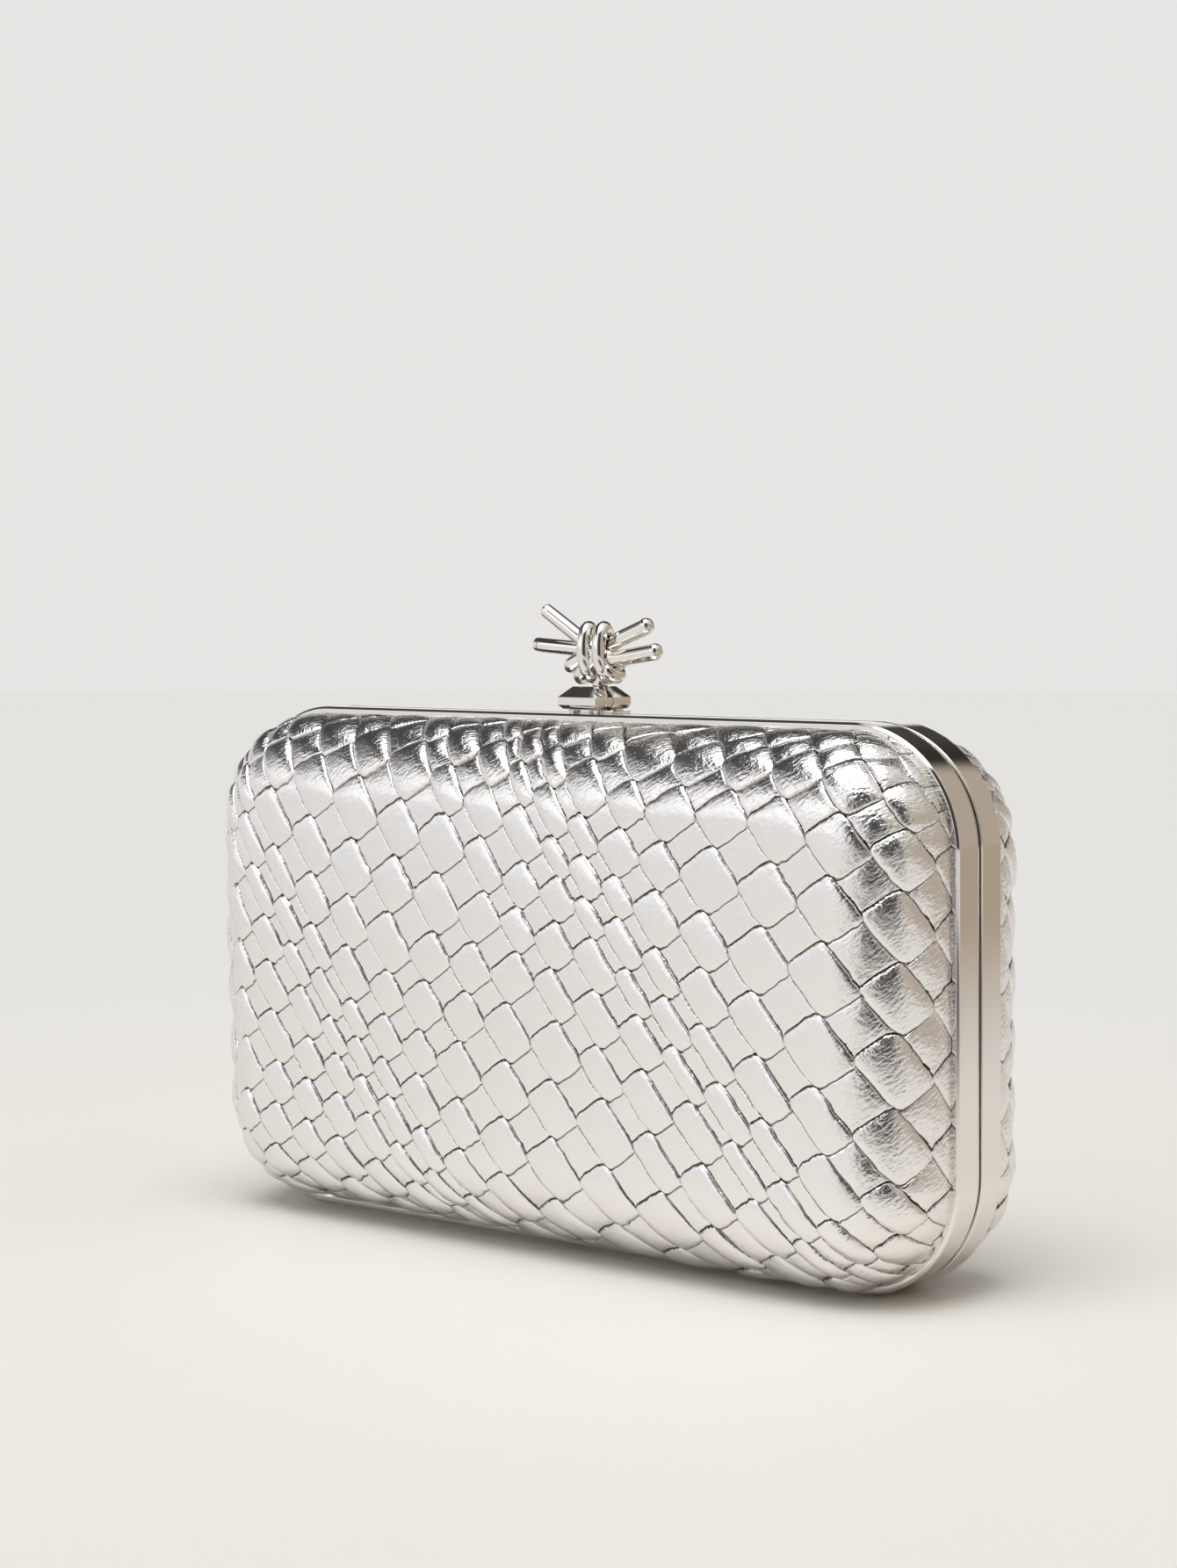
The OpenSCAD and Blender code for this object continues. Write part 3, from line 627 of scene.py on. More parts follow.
def weave(seed):
    """The flat woven sheet: places along and across the strips, lift, and masks for its finish."""
    rng = np.random.default_rng(seed)
    cross, p, cross_mid, cross_half = strip_lines(CROSS_WIDTHS, CROSS_START, TILE_STEPS[0])
    strip, q, strip_mid, strip_half = strip_lines(LONG_WIDTHS, LONG_START, TILE_STEPS[1])
    j, i = np.meshgrid(cross, strip, indexing="ij")
    p, q = np.meshgrid(p, q, indexing="ij")
    over = (i + j) % 2 == 1
    side = np.where(over, 1.0, -1.0)
    jitter = rng.normal(0, 1, (5, len(cross_mid) + 1, len(strip_mid) + 1))

    # Where the edges of a tile lie: both tiles at an edge work it out from the same random numbers
    row, column = np.indices(p.shape)
    end_wobble = WOBBLE * rng.normal(0, 1, (len(cross_mid) + 1, p.shape[1]))[j + (p > 0), column]
    side_wobble = WOBBLE * rng.normal(0, 1, (p.shape[0], len(strip_mid) + 1))[row, i + (q > 0)]
    half_w, half_h = cross_half[j], strip_half[i]
    own_start = (p < 0) == over
    end_curve = np.where(own_start, corner_curve(q, np.where(q > 0, 3.4, 5)), corner_curve(q, 12))
    end_bulge = END_BULGE * end_curve * (1 + BULGE_VARIES * jitter[0][j + (p > 0), i])
    own_low = (q < 0) == over
    sunk = np.clip((p - 0.35) / 0.65, 0, 1) ** 2
    side_curve = np.where(own_low, corner_curve(p, 6) - 1.7 * sunk, corner_curve(p, 6))
    side_bulge = SIDE_BULGE * side_curve * (1 + BULGE_VARIES * jitter[1][j, i + (q > 0)])
    reach_p = half_w + side * end_bulge + np.sign(p) * end_wobble * (1 - np.abs(q) ** 8)
    reach_q = half_h + side * side_bulge + np.sign(q) * side_wobble * (1 - np.abs(p) ** 8)
    along = cross_mid[j] + p * reach_p
    across = strip_mid[i] + q * reach_q

    # How high each point stands
    end_gap = (1 - np.abs(p)) * reach_p
    side_gap = (1 - np.abs(q)) * reach_q
    narrow = np.clip((4.2 - half_h) / 2.4, 0, 1)
    end_fall = np.where(over, edge_loss(end_gap, *OVER_END), edge_loss(end_gap, *UNDER_END))
    side_fall = np.where(over, edge_loss(side_gap, *OVER_SIDE), edge_loss(side_gap, *UNDER_SIDE))
    crown = (1 - p ** 2) * (1 - q ** 2)
    over_crown = OVER_CROWN + NARROW_CROWN * narrow
    top = np.where(over, OVER_TOP + crown * over_crown, UNDER_TOP + crown * UNDER_CROWN)
    tilt = jitter[3][j, i] * p + jitter[4][j, i] * q
    top = top * (1 + HEIGHT_VARIES * jitter[2][j, i]) + FACE_TILT * tilt
    end_line = END_LINE + (KNOT_LINE - END_LINE) * np.abs(q) ** 12
    side_line = SIDE_LINE + (KNOT_LINE - SIDE_LINE) * np.abs(p) ** 12
    lift = (top * (1 - end_fall) * (1 - side_fall) + end_line * end_fall * (1 - side_fall)
            + side_line * side_fall * (1 - end_fall) + KNOT_LINE * end_fall * side_fall)

    # What is added on the rounded side of the panel
    puff = (1 - end_fall) * (1 - side_fall) * (SIDE_PUFF * crown + SIDE_TILT * tilt)

    # Masks for the finish: painted shade in the lines and at folded edges, and where the leather is gathered
    painted_shade_side = near(side_gap, 0.7) * np.clip(0.4 + 0.9 * p + 0.25 * jitter[0][j, i], 0, 1)
    masks = {"crease": np.maximum(near(end_gap, 0.2), near(side_gap, 0.2)),
             "painted_shade_end": np.where(over & (p < 0), near(end_gap, 0.9), 0),
             "painted_shade_side": np.where(~over & (q < 0), painted_shade_side, 0),
             "long_streaks": np.where(over, 0.12 + 0.88 * near(end_gap, 1.8) ** 1.5, 0),
             "cross_streaks": np.where(over, 0, 0.10 + 0.90 * near(side_gap, 1.2) ** 1.5)}
    return along, across, lift, puff, masks


along, across, lift, puff, masks = weave(7)
print("woven sheet:", along.shape, "lift in mm:", round(lift.min(), 2), "to", round(lift.max(), 2))

# %% [markdown]
# ## Laying a sheet on the panel
#
# The panel is a shallow dish turned outwards: a nearly flat face, a rounded side and a short upright edge that
# disappears into the rim. A point of the flat sheet keeps its place on the face. Past the face it runs
# down the rounded side by its own distance, so the strips keep their length there. At the corners the side has
# less room than the flat sheet, so the strips crowd together and pucker, as they do on the bag.

# %% Panel surface
FACE_INSET = COVER_INSET + DOME_RUN
FACE_HALF = np.array([HALF_W - FACE_INSET, MIDDLE_Z - FACE_INSET])
FACE_CORNER = CORNER_R - FACE_INSET
DOME_RISE = PANEL_DEPTH - RIM_DEPTH - CROWN
SIDE_ARC = DOME_RUN * math.pi / 2
EDGE_ARC = RIM_DEPTH - PANEL_SEAT
SHEET_REACH = SIDE_ARC + EDGE_ARC
PUCKERS = 24
PUCKER_LIFT = 1.1 * MM
SLUMP = 1.4 * MM
SLUMP_TOP = 20 * MM


def reach_of(u, v):
    """How far a flat point lies past the face, and where and which way it leaves the face's core."""
    core = FACE_HALF - FACE_CORNER
    cu, cv = np.clip(u, -core[0], core[0]), np.clip(v, -core[1], core[1])
    du, dv = u - cu, v - cv
    far = np.maximum(np.hypot(du, dv), 1e-9)
    return far - FACE_CORNER, cu, cv, du / far, dv / far


def slump_share(u, v):
    """Where the padding of the front panel is pressed flatter: low on the left."""
    low = np.clip((-v + SLUMP_TOP) / (MIDDLE_Z * 0.9), 0, 1)
    left = np.clip(0.5 - u / HALF_W, 0, 1)
    return (3 * low ** 2 - 2 * low ** 3) * left


def on_panel(u, v, lift, side, inset=COVER_INSET, rise=DOME_RISE, pucker=0.0):
    """Places flat points (u along the bag, v up from its middle) on a panel layer, lifted off its surface."""
    past, cu, cv, nu, nv = reach_of(u, v)
    turn = np.clip(past / DOME_RUN, 0, math.pi / 2)
    below = np.clip(past - SIDE_ARC, 0, None)
    out = FACE_CORNER + np.where(past > 0, (FACE_INSET - inset) * np.sin(turn), past)
    x_share = np.clip(np.abs(u) / (FACE_HALF[0] + DOME_RUN / 2), 0, 1)
    z_share = np.clip(np.abs(v) / (FACE_HALF[1] + DOME_RUN / 2), 0, 1)
    crown = CROWN * ((1 - x_share ** 2) * (1 - z_share ** 2)) ** 1.5
    depth = RIM_DEPTH + rise * np.cos(turn) - below + crown
    in_corner = np.minimum(np.abs(nu), np.abs(nv)) > 1e-6
    crowded = np.where(in_corner, 1 - out / np.maximum(past + FACE_CORNER, 1e-9), 0)
    angle = np.arctan2(np.abs(nv), np.abs(nu))
    lift = lift + pucker * crowded * np.sin(angle * PUCKERS) * np.cos(turn)
    x = cu + nu * (out + lift * np.sin(turn))
    z = cv + nv * (out + lift * np.sin(turn)) + MIDDLE_Z
    return np.stack([x, side * (depth + lift * np.cos(turn)), z], -1)


print("face half in mm:", np.round(FACE_HALF / MM, 1), "sheet reach in mm:", round(SHEET_REACH / MM, 1))

# %% [markdown]
# The woven sheet is larger than the panel and lies askew on it, so it is trimmed: faces outside the panel's
# outline go, and the points on the cut slide onto the outline. A Boolean would leave thin faces at the cut.

# %% Sheets
LEAN = 0.08
BEND = 0.0004
BEND_FROM = 15
SLIDE = 0.025


def flat_uv(along, across):
    """Turns the weave to its slant on the bag; the long strips bend a little on their way down."""
    bent = across + LEAN * (along + BEND_FROM) + BEND * (along + BEND_FROM) ** 2
    slid = along - SLIDE * across
    u = slid * math.cos(LONG_TURN) + bent * math.cos(CROSS_TURN)
    v = slid * math.sin(LONG_TURN) + bent * math.sin(CROSS_TURN)
    return u * MM, v * MM


def trimmed_grid(u, v):
    """Faces of the grid that lie inside the panel's outline, with the cut edge moved onto the outline."""
    rows, columns = u.shape
    number = np.arange(rows * columns).reshape(rows, columns)
    corners = np.stack([number[:-1, :-1], number[1:, :-1], number[1:, 1:], number[:-1, 1:]], -1)
    corners = corners.reshape(-1, 4)
    u, v = u.ravel(), v.ravel()
    past = reach_of(u[corners].mean(1), v[corners].mean(1))[0]
    faces = corners[past < SHEET_REACH]
    used, faces = np.unique(faces, return_inverse=True)
    faces = faces.reshape(-1, 4)
    u, v = u[used], v[used]
    edges = np.sort(np.stack([faces, np.roll(faces, -1, 1)], -1).reshape(-1, 2), 1)
    pairs, uses = np.unique(edges, axis=0, return_counts=True)
    rim = np.zeros(len(used), bool)
    rim[pairs[uses == 1].ravel()] = True
    past, cu, cv, nu, nv = reach_of(u, v)
    move = rim | (past > SHEET_REACH)
    u = np.where(move, cu + nu * (FACE_CORNER + SHEET_REACH), u)
    v = np.where(move, cv + nv * (FACE_CORNER + SHEET_REACH), v)
    return u, v, faces, used


def plain_grid(step):
    """An even flat grid that covers the whole sheet."""
    half = FACE_HALF + SHEET_REACH
    u = np.linspace(-half[0], half[0], int(2 * half[0] / step))
    v = np.linspace(-half[1], half[1], int(2 * half[1] / step))
    return np.meshgrid(u, v, indexing="ij")


print("sheet helpers ready")

# %% [markdown]
# Leather, foam and suede have a thickness. A Solidify modifier could add it, but would push every crease
# through to the inner side. So a plain inner sheet is trimmed the same way, and a narrow ring of triangles
# walks round both cut edges at once and joins them.

# %% Closing two sheets into one piece
BACK_STEP = 2.2 * MM


def cut_edge(u, v, faces):
    """The points on a sheet's cut edge in order, counterclockwise, and how far round each one lies."""
    ways = {way for face in faces.tolist() for way in zip(face, face[1:] + face[:1])}
    following = {a: b for a, b in ways if (b, a) not in ways}
    loop = [min(following)]
    while following[loop[-1]] != loop[0]:
        loop.append(following[loop[-1]])
    loop = np.array(loop)
    turn = np.unwrap(np.arctan2(v[loop], u[loop]))
    if turn[-1] < turn[0]:
        loop = loop[::-1]
    loop = np.roll(loop, -int(np.argmin(np.arctan2(v[loop], u[loop]))))
    return loop.tolist(), np.unwrap(np.arctan2(v[loop], u[loop])).tolist()


def ring_between(outer, inner):
    """Triangles between two cut edges: the one that is behind always takes the next step."""
    (outer_loop, outer_turn), (inner_loop, inner_turn) = outer, inner
    outer_turn, inner_turn = [[*turn, turn[0] + 2 * math.pi] for turn in (outer_turn, inner_turn)]
    outer_loop, inner_loop = [[*loop, loop[0]] for loop in (outer_loop, inner_loop)]
    ring, i, j = [], 0, 0
    last_i, last_j = len(outer_loop) - 1, len(inner_loop) - 1
    while i < last_i or j < last_j:
        step_out = j == last_j or (i < last_i and outer_turn[i + 1] <= inner_turn[j + 1])
        ring.append([outer_loop[i], outer_loop[i + 1] if step_out else inner_loop[j + 1], inner_loop[j]])
        i, j = (i + 1, j) if step_out else (i, j + 1)
    return ring


def closed_piece(name, outer, inner):
    """One closed piece from an outer and an inner sheet, joined along their cut edges."""
    (points, faces, edge), (inner_points, inner_faces, (inner_loop, inner_turn)) = outer, inner
    shift = len(points)
    ring = ring_between(edge, ([k + shift for k in inner_loop], inner_turn))
    mesh = bpy.data.meshes.new(name)
    all_faces = [*faces.tolist(), *(inner_faces + shift).tolist(), *ring]
    mesh.from_pydata([*points.tolist(), *inner_points.tolist()], [], all_faces)
    piece = add_piece(name, mesh)
    edit_all()
    bpy.ops.mesh.normals_make_consistent(inside=False)
    bpy.ops.object.mode_set(mode="OBJECT")
    bpy.ops.object.shade_smooth()
    area = sum(face.area for face in list(mesh.polygons)[-len(ring):])
    print(name, "open edges:", open_edges(piece), "closing ring in square mm:", round(area / MM ** 2))
    return piece


def plain_sheet(side, lift, inset, rise, slump=0.0, pucker=0.0):
    """A layer of the panel without relief: its points, its faces and its cut edge."""
    u, v, faces, _ = trimmed_grid(*plain_grid(BACK_STEP))
    points = on_panel(u, v, lift - slump * slump_share(u, v), side, inset, rise, pucker)
    return points, faces, cut_edge(u, v, faces)


print("step of the inner sheets in mm:", round(BACK_STEP / MM, 1))

# %% [markdown]
# Both panels have the same weave, mirrored on the back. Near the rim the relief gets thinner, because there
# the leather is pulled tight and tucked in. The mesh also carries what the finish needs: the masks, the flat
# place of each point, and how far round the side it lies.

# %% Leather covers
EDGE_THIN = 0.75
THIN_FROM = 0.6


def cover(name, side, slump):
    u, v = flat_uv(along, across)
    u, v, faces, used = trimmed_grid(u, v)
    if side > 0:
        u = -u
    past = reach_of(u, v)[0]
    bend = np.clip(past / DOME_RUN, 0, 1)
    thin = 1 - EDGE_THIN * np.clip((past / SIDE_ARC - THIN_FROM) / (1 - THIN_FROM), 0, 1) ** 1.5
    relief = (lift.ravel()[used] + bend * puff.ravel()[used]) * thin
    lifted = relief * MM - slump * slump_share(u, v)
    outer = on_panel(u, v, lifted, side, pucker=PUCKER_LIFT), faces, cut_edge(u, v, faces)
    piece = closed_piece(name, outer, plain_sheet(side, -LEATHER_T, COVER_INSET, DOME_RISE, slump))
    plain = len(piece.data.vertices) - len(used)
    for mask, values in (*[(mask, values.ravel()[used]) for mask, values in masks.items()], ("bend", bend)):
        layer = piece.data.attributes.new(mask, "FLOAT", "POINT")
        layer.data.foreach_set("value", np.pad(values, (0, plain)).astype(np.float32))
    strips = piece.data.attributes.new("strips", "FLOAT_VECTOR", "POINT")
    flat = np.stack([along.ravel()[used], across.ravel()[used], np.zeros(len(used))], -1)
    strips.data.foreach_set("vector", np.pad(flat, ((0, plain), (0, 0))).astype(np.float32).ravel())
    return piece


front_cover = cover("front_cover_leather", -1, SLUMP)
back_cover = cover("back_cover_leather", 1, 0.0)

# %% [markdown]
# The leather has a metal foil on it. It mirrors the room softly, and its texture breaks the mirror up: a fine
# grain, crumples and soft dents, wrinkles that grow on the rounded side, and short folds where a strip dives
# under its neighbour. The folds run along their strip, so their pattern is stretched in the sheet's own
# directions. Shade in the gaps of the weave is painted into the foil's colour: thin broken lines, teeth
# between the folds, and cuts along the cross strips.

# %% Silver leather
leather, tree = new_material("silver_foil_leather")
STREAK_SCALE = 2.2
FOIL = (0.84, 0.825, 0.815, 1)
# The colour of the painted shade in the creases and gaps of the weave
GAP_SHADE = (0.06, 0.055, 0.05, 1)


def sheet_value(name, out="Fac"):
    return shade(tree, "ShaderNodeAttribute", {"attribute_name": name}, None, out)


def sheet_noise(stretch, scale, detail):
    """Noise in the flat sheet, in millimetres, stretched along the strips or across them."""
    return noise(tree, vector_math(tree, "MULTIPLY", flat_place, (*stretch, 1.0)), scale, detail)


flat_place = sheet_value("strips", "Vector")
place = own_place(tree)
grain = noise(tree, place, 2600.0, 3.0, Roughness=0.65)
crumple = noise(tree, place, 520.0, 4.0, Roughness=0.6, Distortion=0.8)
dents = noise(tree, place, 170.0, 2.0, Distortion=0.5)
long_streak = sheet_noise((0.14, 1.0), STREAK_SCALE, 3.0)
cross_streak = sheet_noise((1.0, 0.14), STREAK_SCALE, 3.0)
gathers = long_streak * sheet_value("long_streaks") + cross_streak * sheet_value("cross_streaks")
wrinkle = sheet_noise((1.0, 0.4), 1.7, 2.0) * (sheet_value("bend").step(0.0, 0.5) * 1.5 + 0.3)
relief = grain * 0.22 + crumple * 0.7 + wrinkle + gathers * 2.4 + dents * 1.6
bump = bumped(tree, relief, 0.85, 0.12 * MM)
print("nodes for the leather's bump:", len(tree.nodes))

# %% Foil, and painted shade in its gaps
# Painted shade: broken lines in the creases, teeth at the ends of the strips and cuts along the cross strips
crinkle = sheet_noise((1.0, 1.0), 2.6, 3.0).step(0.40, 0.58)
shade_teeth = (sheet_value("painted_shade_end") - long_streak * 1.8 + 0.35).step(0.0, 0.3)
shade_cuts = (sheet_value("painted_shade_side") - cross_streak * 1.6 + 0.3).step(0.0, 0.2)
crease_shade = sheet_value("crease") * (0.35 + crinkle * 0.5)
shadow = (crease_shade + shade_teeth * 0.75 + shade_cuts * 0.9).math("MINIMUM", 1.0)
foil_with_painted_shade = blend(tree, shadow, FOIL, GAP_SHADE)
matt = crumple * 0.12 + shadow * 0.2 + 0.11
finish_material(tree, Base_Color=foil_with_painted_shade, Metallic=1.0, Roughness=matt, Normal=bump)
dress(front_cover, leather, "front_half", "silver_leather", "front_cover")
dress(back_cover, leather, "back_half", "silver_leather", "back_cover")

# %% [markdown]
# ## Foam and lining
#
# Under the leather lies a thin foam, and inside the shell a suede lining. Cloth simulation could settle them,
# but both are glued to a stiff shell. So each is made as the leather is, with sizes from the boxes of their
# solids. The foam follows the leather where that is pressed flatter. The lining has small gathers in its
# corners, where flat suede is pushed into a tray.

# %% Foam and lining
FOAM_GAP = 0.1 * MM
LINING_T = 0.8 * MM
GATHER = 1.2 * MM


def layer_size(node):
    """How far a layer's edge is set in from the rim's outside, and how high it stands on the rim."""
    low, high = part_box(node)
    return HALF_W - high.x, max(-low.y, high.y) - RIM_DEPTH - CROWN


def foam_pad(name, node, shell, side, slump):
    inset, rise = layer_size(node)
    under, under_rise = layer_size(shell)
    inside = plain_sheet(side, FOAM_GAP / 2, under, under_rise)
    return closed_piece(name, plain_sheet(side, 0, inset, rise, slump), inside)


def lining_sheet(name, node, side):
    inset, rise = layer_size(node)
    inside = plain_sheet(side, 0, inset + LINING_T, rise - LINING_T, pucker=-GATHER)
    return closed_piece(name, plain_sheet(side, 0, inset, rise), inside)


front_foam = foam_pad("front_foam", "front_padding", "front_shell", -1, SLUMP)
back_foam = foam_pad("back_foam", "back_padding", "back_shell", 1, 0.0)
front_lining = lining_sheet("front_suede_lining", "front_lining", -1)
back_lining = lining_sheet("back_suede_lining", "back_lining", 1)

# %% [markdown]
# Foam is full of small pores, which a Voronoi pattern gives. Suede has a short nap that lies this way or that,
# so it is blotchy. The shell is pressed fibre board, dark and dull.

# %% Foam, suede and shell board
foam_finish, tree = new_material("cream_foam")
place = own_place(tree)
pores = shade(tree, "ShaderNodeTexVoronoi", {"feature": "F1"}, {"Vector": place, "Scale": 1400.0}, "Distance")
cream = blend(tree, noise(tree, place, 40.0, 3.0), (0.86, 0.81, 0.63, 1), (0.80, 0.73, 0.52, 1))
bump = bumped(tree, pores, 0.7, 0.3 * MM)
finish_material(tree, Base_Color=cream, Roughness=0.9, Normal=bump)

suede, tree = new_material("grey_suede")
place = own_place(tree)
brushed = noise(tree, place, 45.0, 4.0, Distortion=1.2)
nap = noise(tree, place, 2600.0, 2.0)
tone = brushed.step(0.2, 0.8) * 0.5 + nap * 0.5
grey = blend(tree, tone, (0.45, 0.43, 0.40, 1), (0.60, 0.58, 0.545, 1))
bump = bumped(tree, nap + brushed * 0.4, 0.5, 0.15 * MM)
finish_material(tree, Base_Color=grey, Roughness=0.95, Sheen_Weight=0.35, Normal=bump)

shell_board, tree = new_material("moulded_shell_board")
fibre = noise(tree, own_place(tree), 900.0, 4.0)
black = blend(tree, fibre, (0.08, 0.08, 0.08, 1), (0.17, 0.165, 0.16, 1))
bump = bumped(tree, fibre, 0.4, 0.08 * MM)
finish_material(tree, Base_Color=black, Roughness=0.7, Normal=bump)
print("finishes:", foam_finish.name, suede.name, shell_board.name)

# %% Foam and lining on their bodies
dress(front_foam, foam_finish, "front_half", "foam", "front_padding")
dress(back_foam, foam_finish, "back_half", "foam", "back_padding")
dress(front_lining, suede, "front_half", "suede_lining", "front_lining")
dress(back_lining, suede, "back_half", "suede_lining", "back_lining")

# %% [markdown]
# ## The knot
#
# The clasp is cast as a knot of round rods. Two rods lie across each other and show their four tips, thicker
# on the right than on the left. A third one is wound twice round them, and three short loops come out below.
# The points of the rods are shares of the knot's half width, depth and height. They are few, so a smooth line
# is drawn through them.

# %% Knot routes
block_low, block_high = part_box("lever_block")
KNOT_HALF = 17.1 * MM
WRAP_DEEP = 5.2 * MM
WRAP_H = 10.1 * MM
WRAP_PITCH = 4.1 * MM
WRAP_SLANT = 0.06
WRAP_SHIFT = -0.6 * MM
WRAP_FROM = -90
WRAP_TO = 600
WRAP_STEPS = 30
ROD_R = 1.5 * MM
SWELL = 1.2
LOOP_HALF = 1.68 * MM
LOOP_LEG = 4.5 * MM
LOOP_STEPS = 8
KNOT_RISE = 0.45 * MM
KNOT_AT = Vector((0, WRAP_DEEP / 5, block_high.z + KNOT_RISE + WRAP_H / 2 + ROD_R))
RISING = [(-0.782, 0.02, 0.817), (-0.724, 0.02, 0.757), (-0.306, -0.04, 0.342), (-0.129, -0.10, 0.168),
          (0.059, -0.125, 0), (0.224, -0.125, -0.089), (0.365, -0.125, -0.114), (0.847, -0.144, 0.005),
          (0.918, -0.144, 0.025)]
LEVEL = [(-0.941, 0.125, 0.139), (-0.871, 0.125, 0.129), (-0.318, 0.19, 0.064), (-0.141, 0.21, 0.05),
         (0, 0.21, 0.079), (0.141, 0.21, 0.149), (0.271, 0.19, 0.248), (0.659, 0.144, 0.49),
         (0.718, 0.144, 0.535)]
LEAD_IN = [(-0.06, 0.17, -0.12), (-0.15, 0.385, -0.12)]
LEAD_OUT = [(0.2, 0.33, -0.13), (0.12, 0.17, -0.08)]
LOOPS = [((-0.324, 0.077, -0.228), 206), ((-0.182, 0.077, -0.416), 221), ((0.212, 0.077, -0.371), 315)]


def placed(shares):
    return [KNOT_AT + Vector((x * KNOT_HALF, y * WRAP_DEEP, z * WRAP_H)) for x, y, z in shares]


def wrap_point(turn):
    """A point of the wraps; turn counts in degrees from the top of the first wrap."""
    a = math.radians(turn)
    x = WRAP_SHIFT + WRAP_PITCH * (turn / 360 - 0.5) + WRAP_SLANT * WRAP_H / 2 * math.cos(a)
    return KNOT_AT + Vector((x, -WRAP_DEEP / 2 * math.sin(a), WRAP_H / 2 * math.cos(a)))


def loop_points(share, turn):
    """Out of the knot, round a half circle from front to back, and in again."""
    bend = placed([share])[0]
    way = Vector((math.cos(math.radians(turn)), 0, math.sin(math.radians(turn))))
    aside = Vector((0, LOOP_HALF, 0))
    turns = [math.pi * k / LOOP_STEPS for k in range(LOOP_STEPS + 1)]
    arc = [bend + way * LOOP_HALF * math.sin(a) - aside * math.cos(a) for a in turns]
    return [bend - way * LOOP_LEG - aside, *arc, bend - way * LOOP_LEG + aside]


def drawn_through(points, steps):
    """A smooth line through the points, with a number of steps between each two."""
    padded = [points[0] * 2 - points[1], *points, points[-1] * 2 - points[-2]]
    line = []
    for a, b, c, d in zip(padded, padded[1:], padded[2:], padded[3:]):
        for k in range(steps):
            t = k / steps
            line.append(0.5 * (2 * b + (c - a) * t + (2 * a - 5 * b + 4 * c - d) * t ** 2
                               + (3 * b - a - 3 * c + d) * t ** 3))
    return [*line, points[-1]]


wound = [wrap_point(WRAP_FROM + (WRAP_TO - WRAP_FROM) * k / WRAP_STEPS) for k in range(WRAP_STEPS + 1)]
wraps = placed(LEAD_IN) + wound + placed(LEAD_OUT)
print("points of the wound rod:", len(wraps), "middle of the knot in mm:", round(KNOT_AT.z / MM, 2))

# %% [markdown]
# Each rod is a curve with a round bevel: a row of cylinders would kink at every joint. The radius of the last
# points is drawn in, which rounds the tips. All is joined with a short foot, because the knot is one casting.

# %% Knot rods
LEFT_ROUND = 0.45
RIGHT_ROUND = 0.85
TIP_REACH = 0.9
TIP_STEPS = 6
FOOT_R = 1.68 * MM
FOOT_Y = 1.88 * MM
FOOT_SOFT = 0.25 * MM


def tip(end, way, radius, rounding):
    """Points past the end of a rod, and their radii: a flat end whose edge is rounded."""
    found = []
    for k in range(TIP_STEPS + 1):
        a = math.radians(90 * k / TIP_STEPS)
        out = radius * (TIP_REACH - rounding * (1 - math.sin(a)))
        found.append((end + way * out, radius * (1 - rounding * (1 - math.cos(a)))))
    return found


def rod(name, points, radius, steps, swell=1.0):
    """A round rod along the points, whose right end is thicker by swell."""
    line = drawn_through(points, steps)
    first, last = (line[0] - line[1]).normalized(), (line[-1] - line[-2]).normalized()
    middle = [(p, radius * (1 + (swell - 1) * k / (len(line) - 1))) for k, p in enumerate(line)]
    left, right = tip(line[0], first, radius, LEFT_ROUND), tip(line[-1], last, radius * swell, RIGHT_ROUND)
    rings = left[::-1] + middle + right
    curve = bpy.data.curves.new(name, "CURVE")
    curve.dimensions = "3D"
    curve.bevel_depth = radius
    curve.bevel_resolution = 6
    curve.use_fill_caps = True
    spline = curve.splines.new("POLY")
    spline.points.add(len(rings) - 1)
    for point, (co, wide) in zip(spline.points, rings):
        point.co = (*co, 1)
        point.radius = wide / radius
    add_piece(name, curve)
    bpy.ops.object.convert(target="MESH")
    return bpy.context.object


def knot_foot():
    """The short round foot that joins the knot to the block."""
    start_clean()
    bpy.ops.mesh.primitive_cylinder_add(vertices=40, radius=FOOT_R, depth=2 * FOOT_R,
                                        location=(0, FOOT_Y, block_high.z + FOOT_R))
    foot = bpy.context.object
    settle(foot)
    soften_edges(foot, FOOT_SOFT, 3)
    return foot


parts = [rod("knot_nickel", placed(RISING), ROD_R, 6, SWELL),
         rod("knot_level", placed(LEVEL), ROD_R, 6, SWELL),
         rod("knot_wraps", wraps, ROD_R, 3),
         *[rod("knot_loop", loop_points(*loop), ROD_R, 4) for loop in LOOPS],
         knot_foot()]
start_clean()
for part in parts:
    part.select_set(True)
bpy.context.view_layer.objects.active = parts[0]
bpy.ops.object.join()
knot = parts[0]
smooth(knot, 40)
dress(knot, nickel, "clasp_lever", "polished_nickel", "knot")

# %% [markdown]
# ## The clasp blocks
#
# The two blocks under the knot are right in the frame, but their edges are knife sharp. Real plated metal has
# its edges broken before polishing, and that is where the light catches. So each block is a cleaned copy of its
# solid with a very small bevel on the edges that point outwards. The pockets inside keep their room.

# %% Clasp blocks
BROKEN_EDGE = 0.2 * MM
SHARP_ANGLE = 25


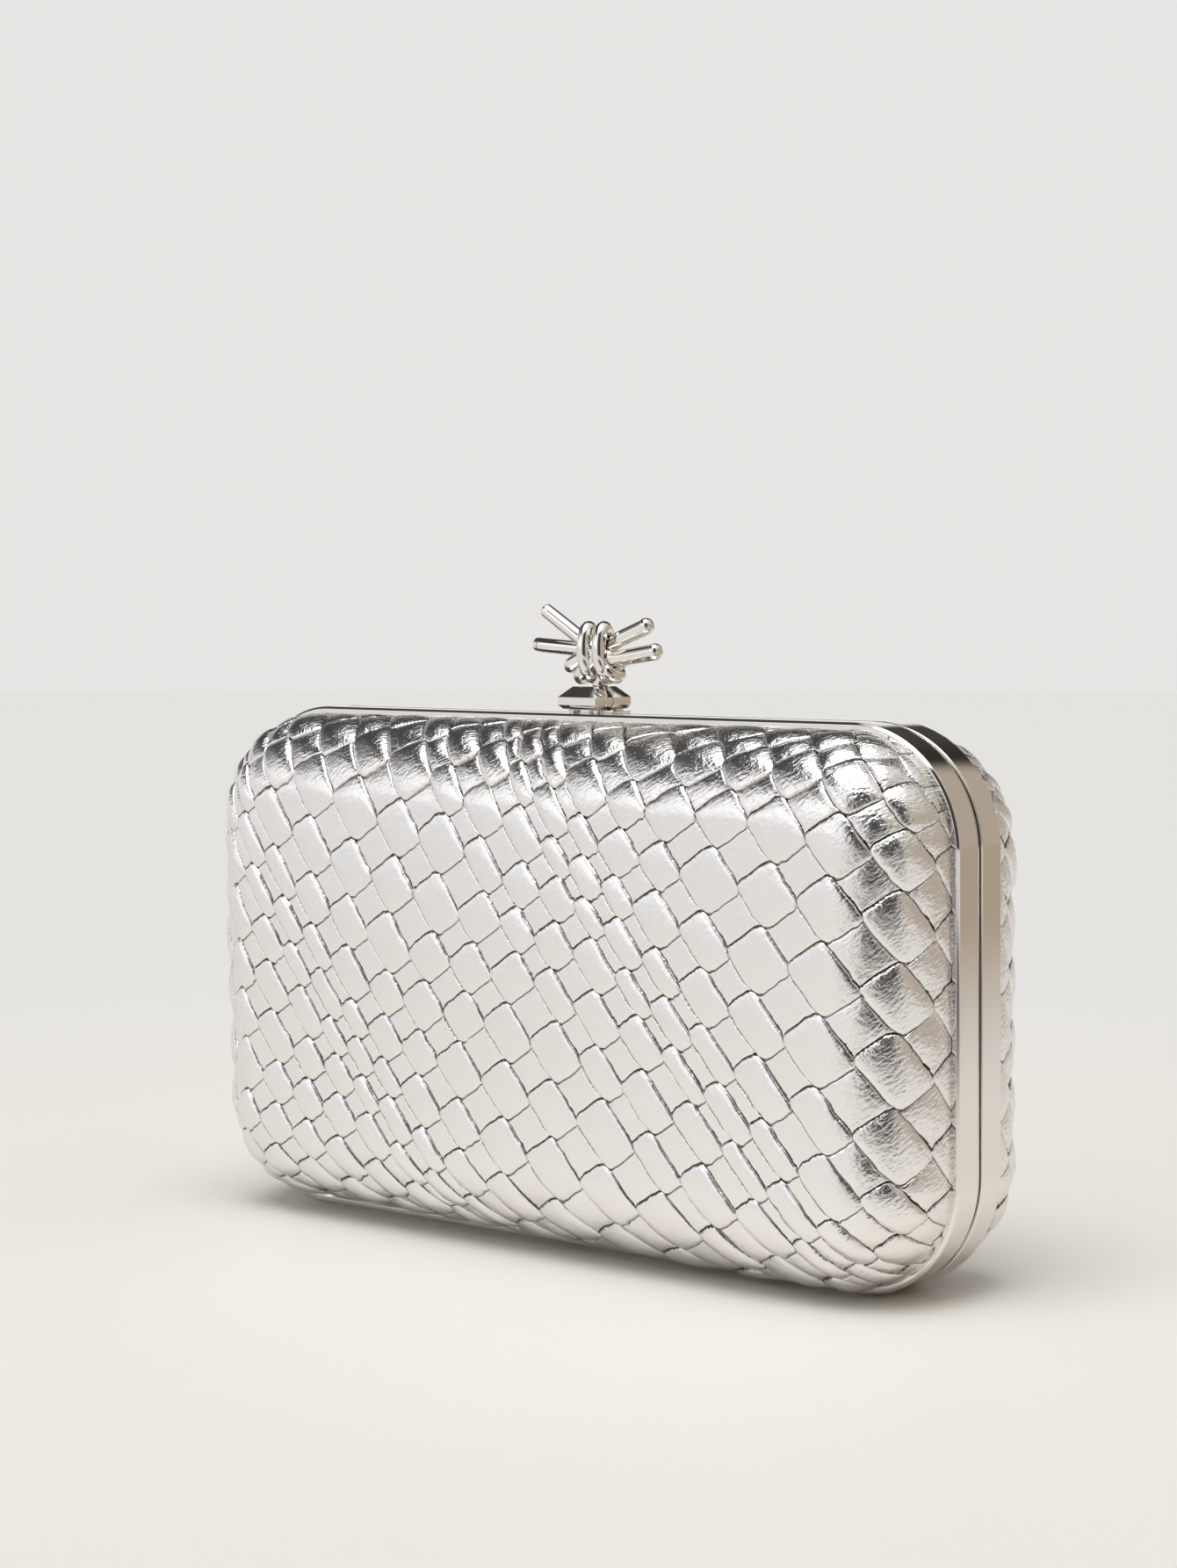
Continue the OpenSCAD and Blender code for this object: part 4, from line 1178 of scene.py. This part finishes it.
def mark_outer_edges(piece, angle):
    """Gives a bevel weight to the sharp edges that point outwards."""
    mesh = piece.data
    faces_of = {}
    for face in mesh.polygons:
        for key in face.edge_keys:
            faces_of.setdefault(key, []).append(face)
    weight = mesh.attributes.new("bevel_weight_edge", "FLOAT", "EDGE")
    for edge in mesh.edges:
        a, b = faces_of[edge.key]
        outer = (b.center - a.center).dot(a.normal) < 0
        weight.data[edge.index].value = float(outer and a.normal.angle(b.normal) > math.radians(angle))


def broken_edges(node, name, width):
    """A copy of a solid whose sharp outer edges have a small bevel."""
    piece = add_piece(name, bpy.data.objects[node].data.copy())
    edit_all()
    bpy.ops.mesh.remove_doubles(threshold=MERGE)
    bpy.ops.mesh.dissolve_limited(angle_limit=math.radians(1))
    bpy.ops.object.mode_set(mode="OBJECT")
    mark_outer_edges(piece, SHARP_ANGLE)
    apply_modifier(piece, "BEVEL", width=width, segments=2, limit_method="WEIGHT", harden_normals=False)
    smooth(piece, SHARP_ANGLE)
    print(name, "open edges:", open_edges(piece))
    return piece


catch_block = broken_edges("catch_block", "catch_block_plated", BROKEN_EDGE)
lever_block = broken_edges("lever_block", "lever_block_plated", BROKEN_EDGE)
dress(catch_block, nickel, "front_half", "polished_nickel", "catch_block")
dress(lever_block, nickel, "clasp_lever", "polished_nickel", "lever_block")

# %% [markdown]
# ## The other pieces
#
# Hinges, rivets, springs, strips and shells are small or hidden, and their solids are right. So they only get
# a finish.

# %% Finishes of the other pieces
for nodes, finish in (
    (("lip_strips", "clasp_base"), nickel),
    (("back_hinge_leaves", "front_hinge_leaves", "hinge_pins", "tilt_pin"), hinge_steel),
    (("back_hinge_rivets", "front_hinge_rivets", "clasp_rivets", "catch_studs", "knot_screw"), rivet_steel),
    (("return_spring", "catch_spring"), spring_steel),
    (("back_shell", "front_shell"), shell_board),
):
    for node in nodes:
        slots = bpy.data.objects[node].material_slots
        for material_slot in slots:
            material_slot.material = finish
        print(node, "slots:", len(slots), "finish:", finish.name)
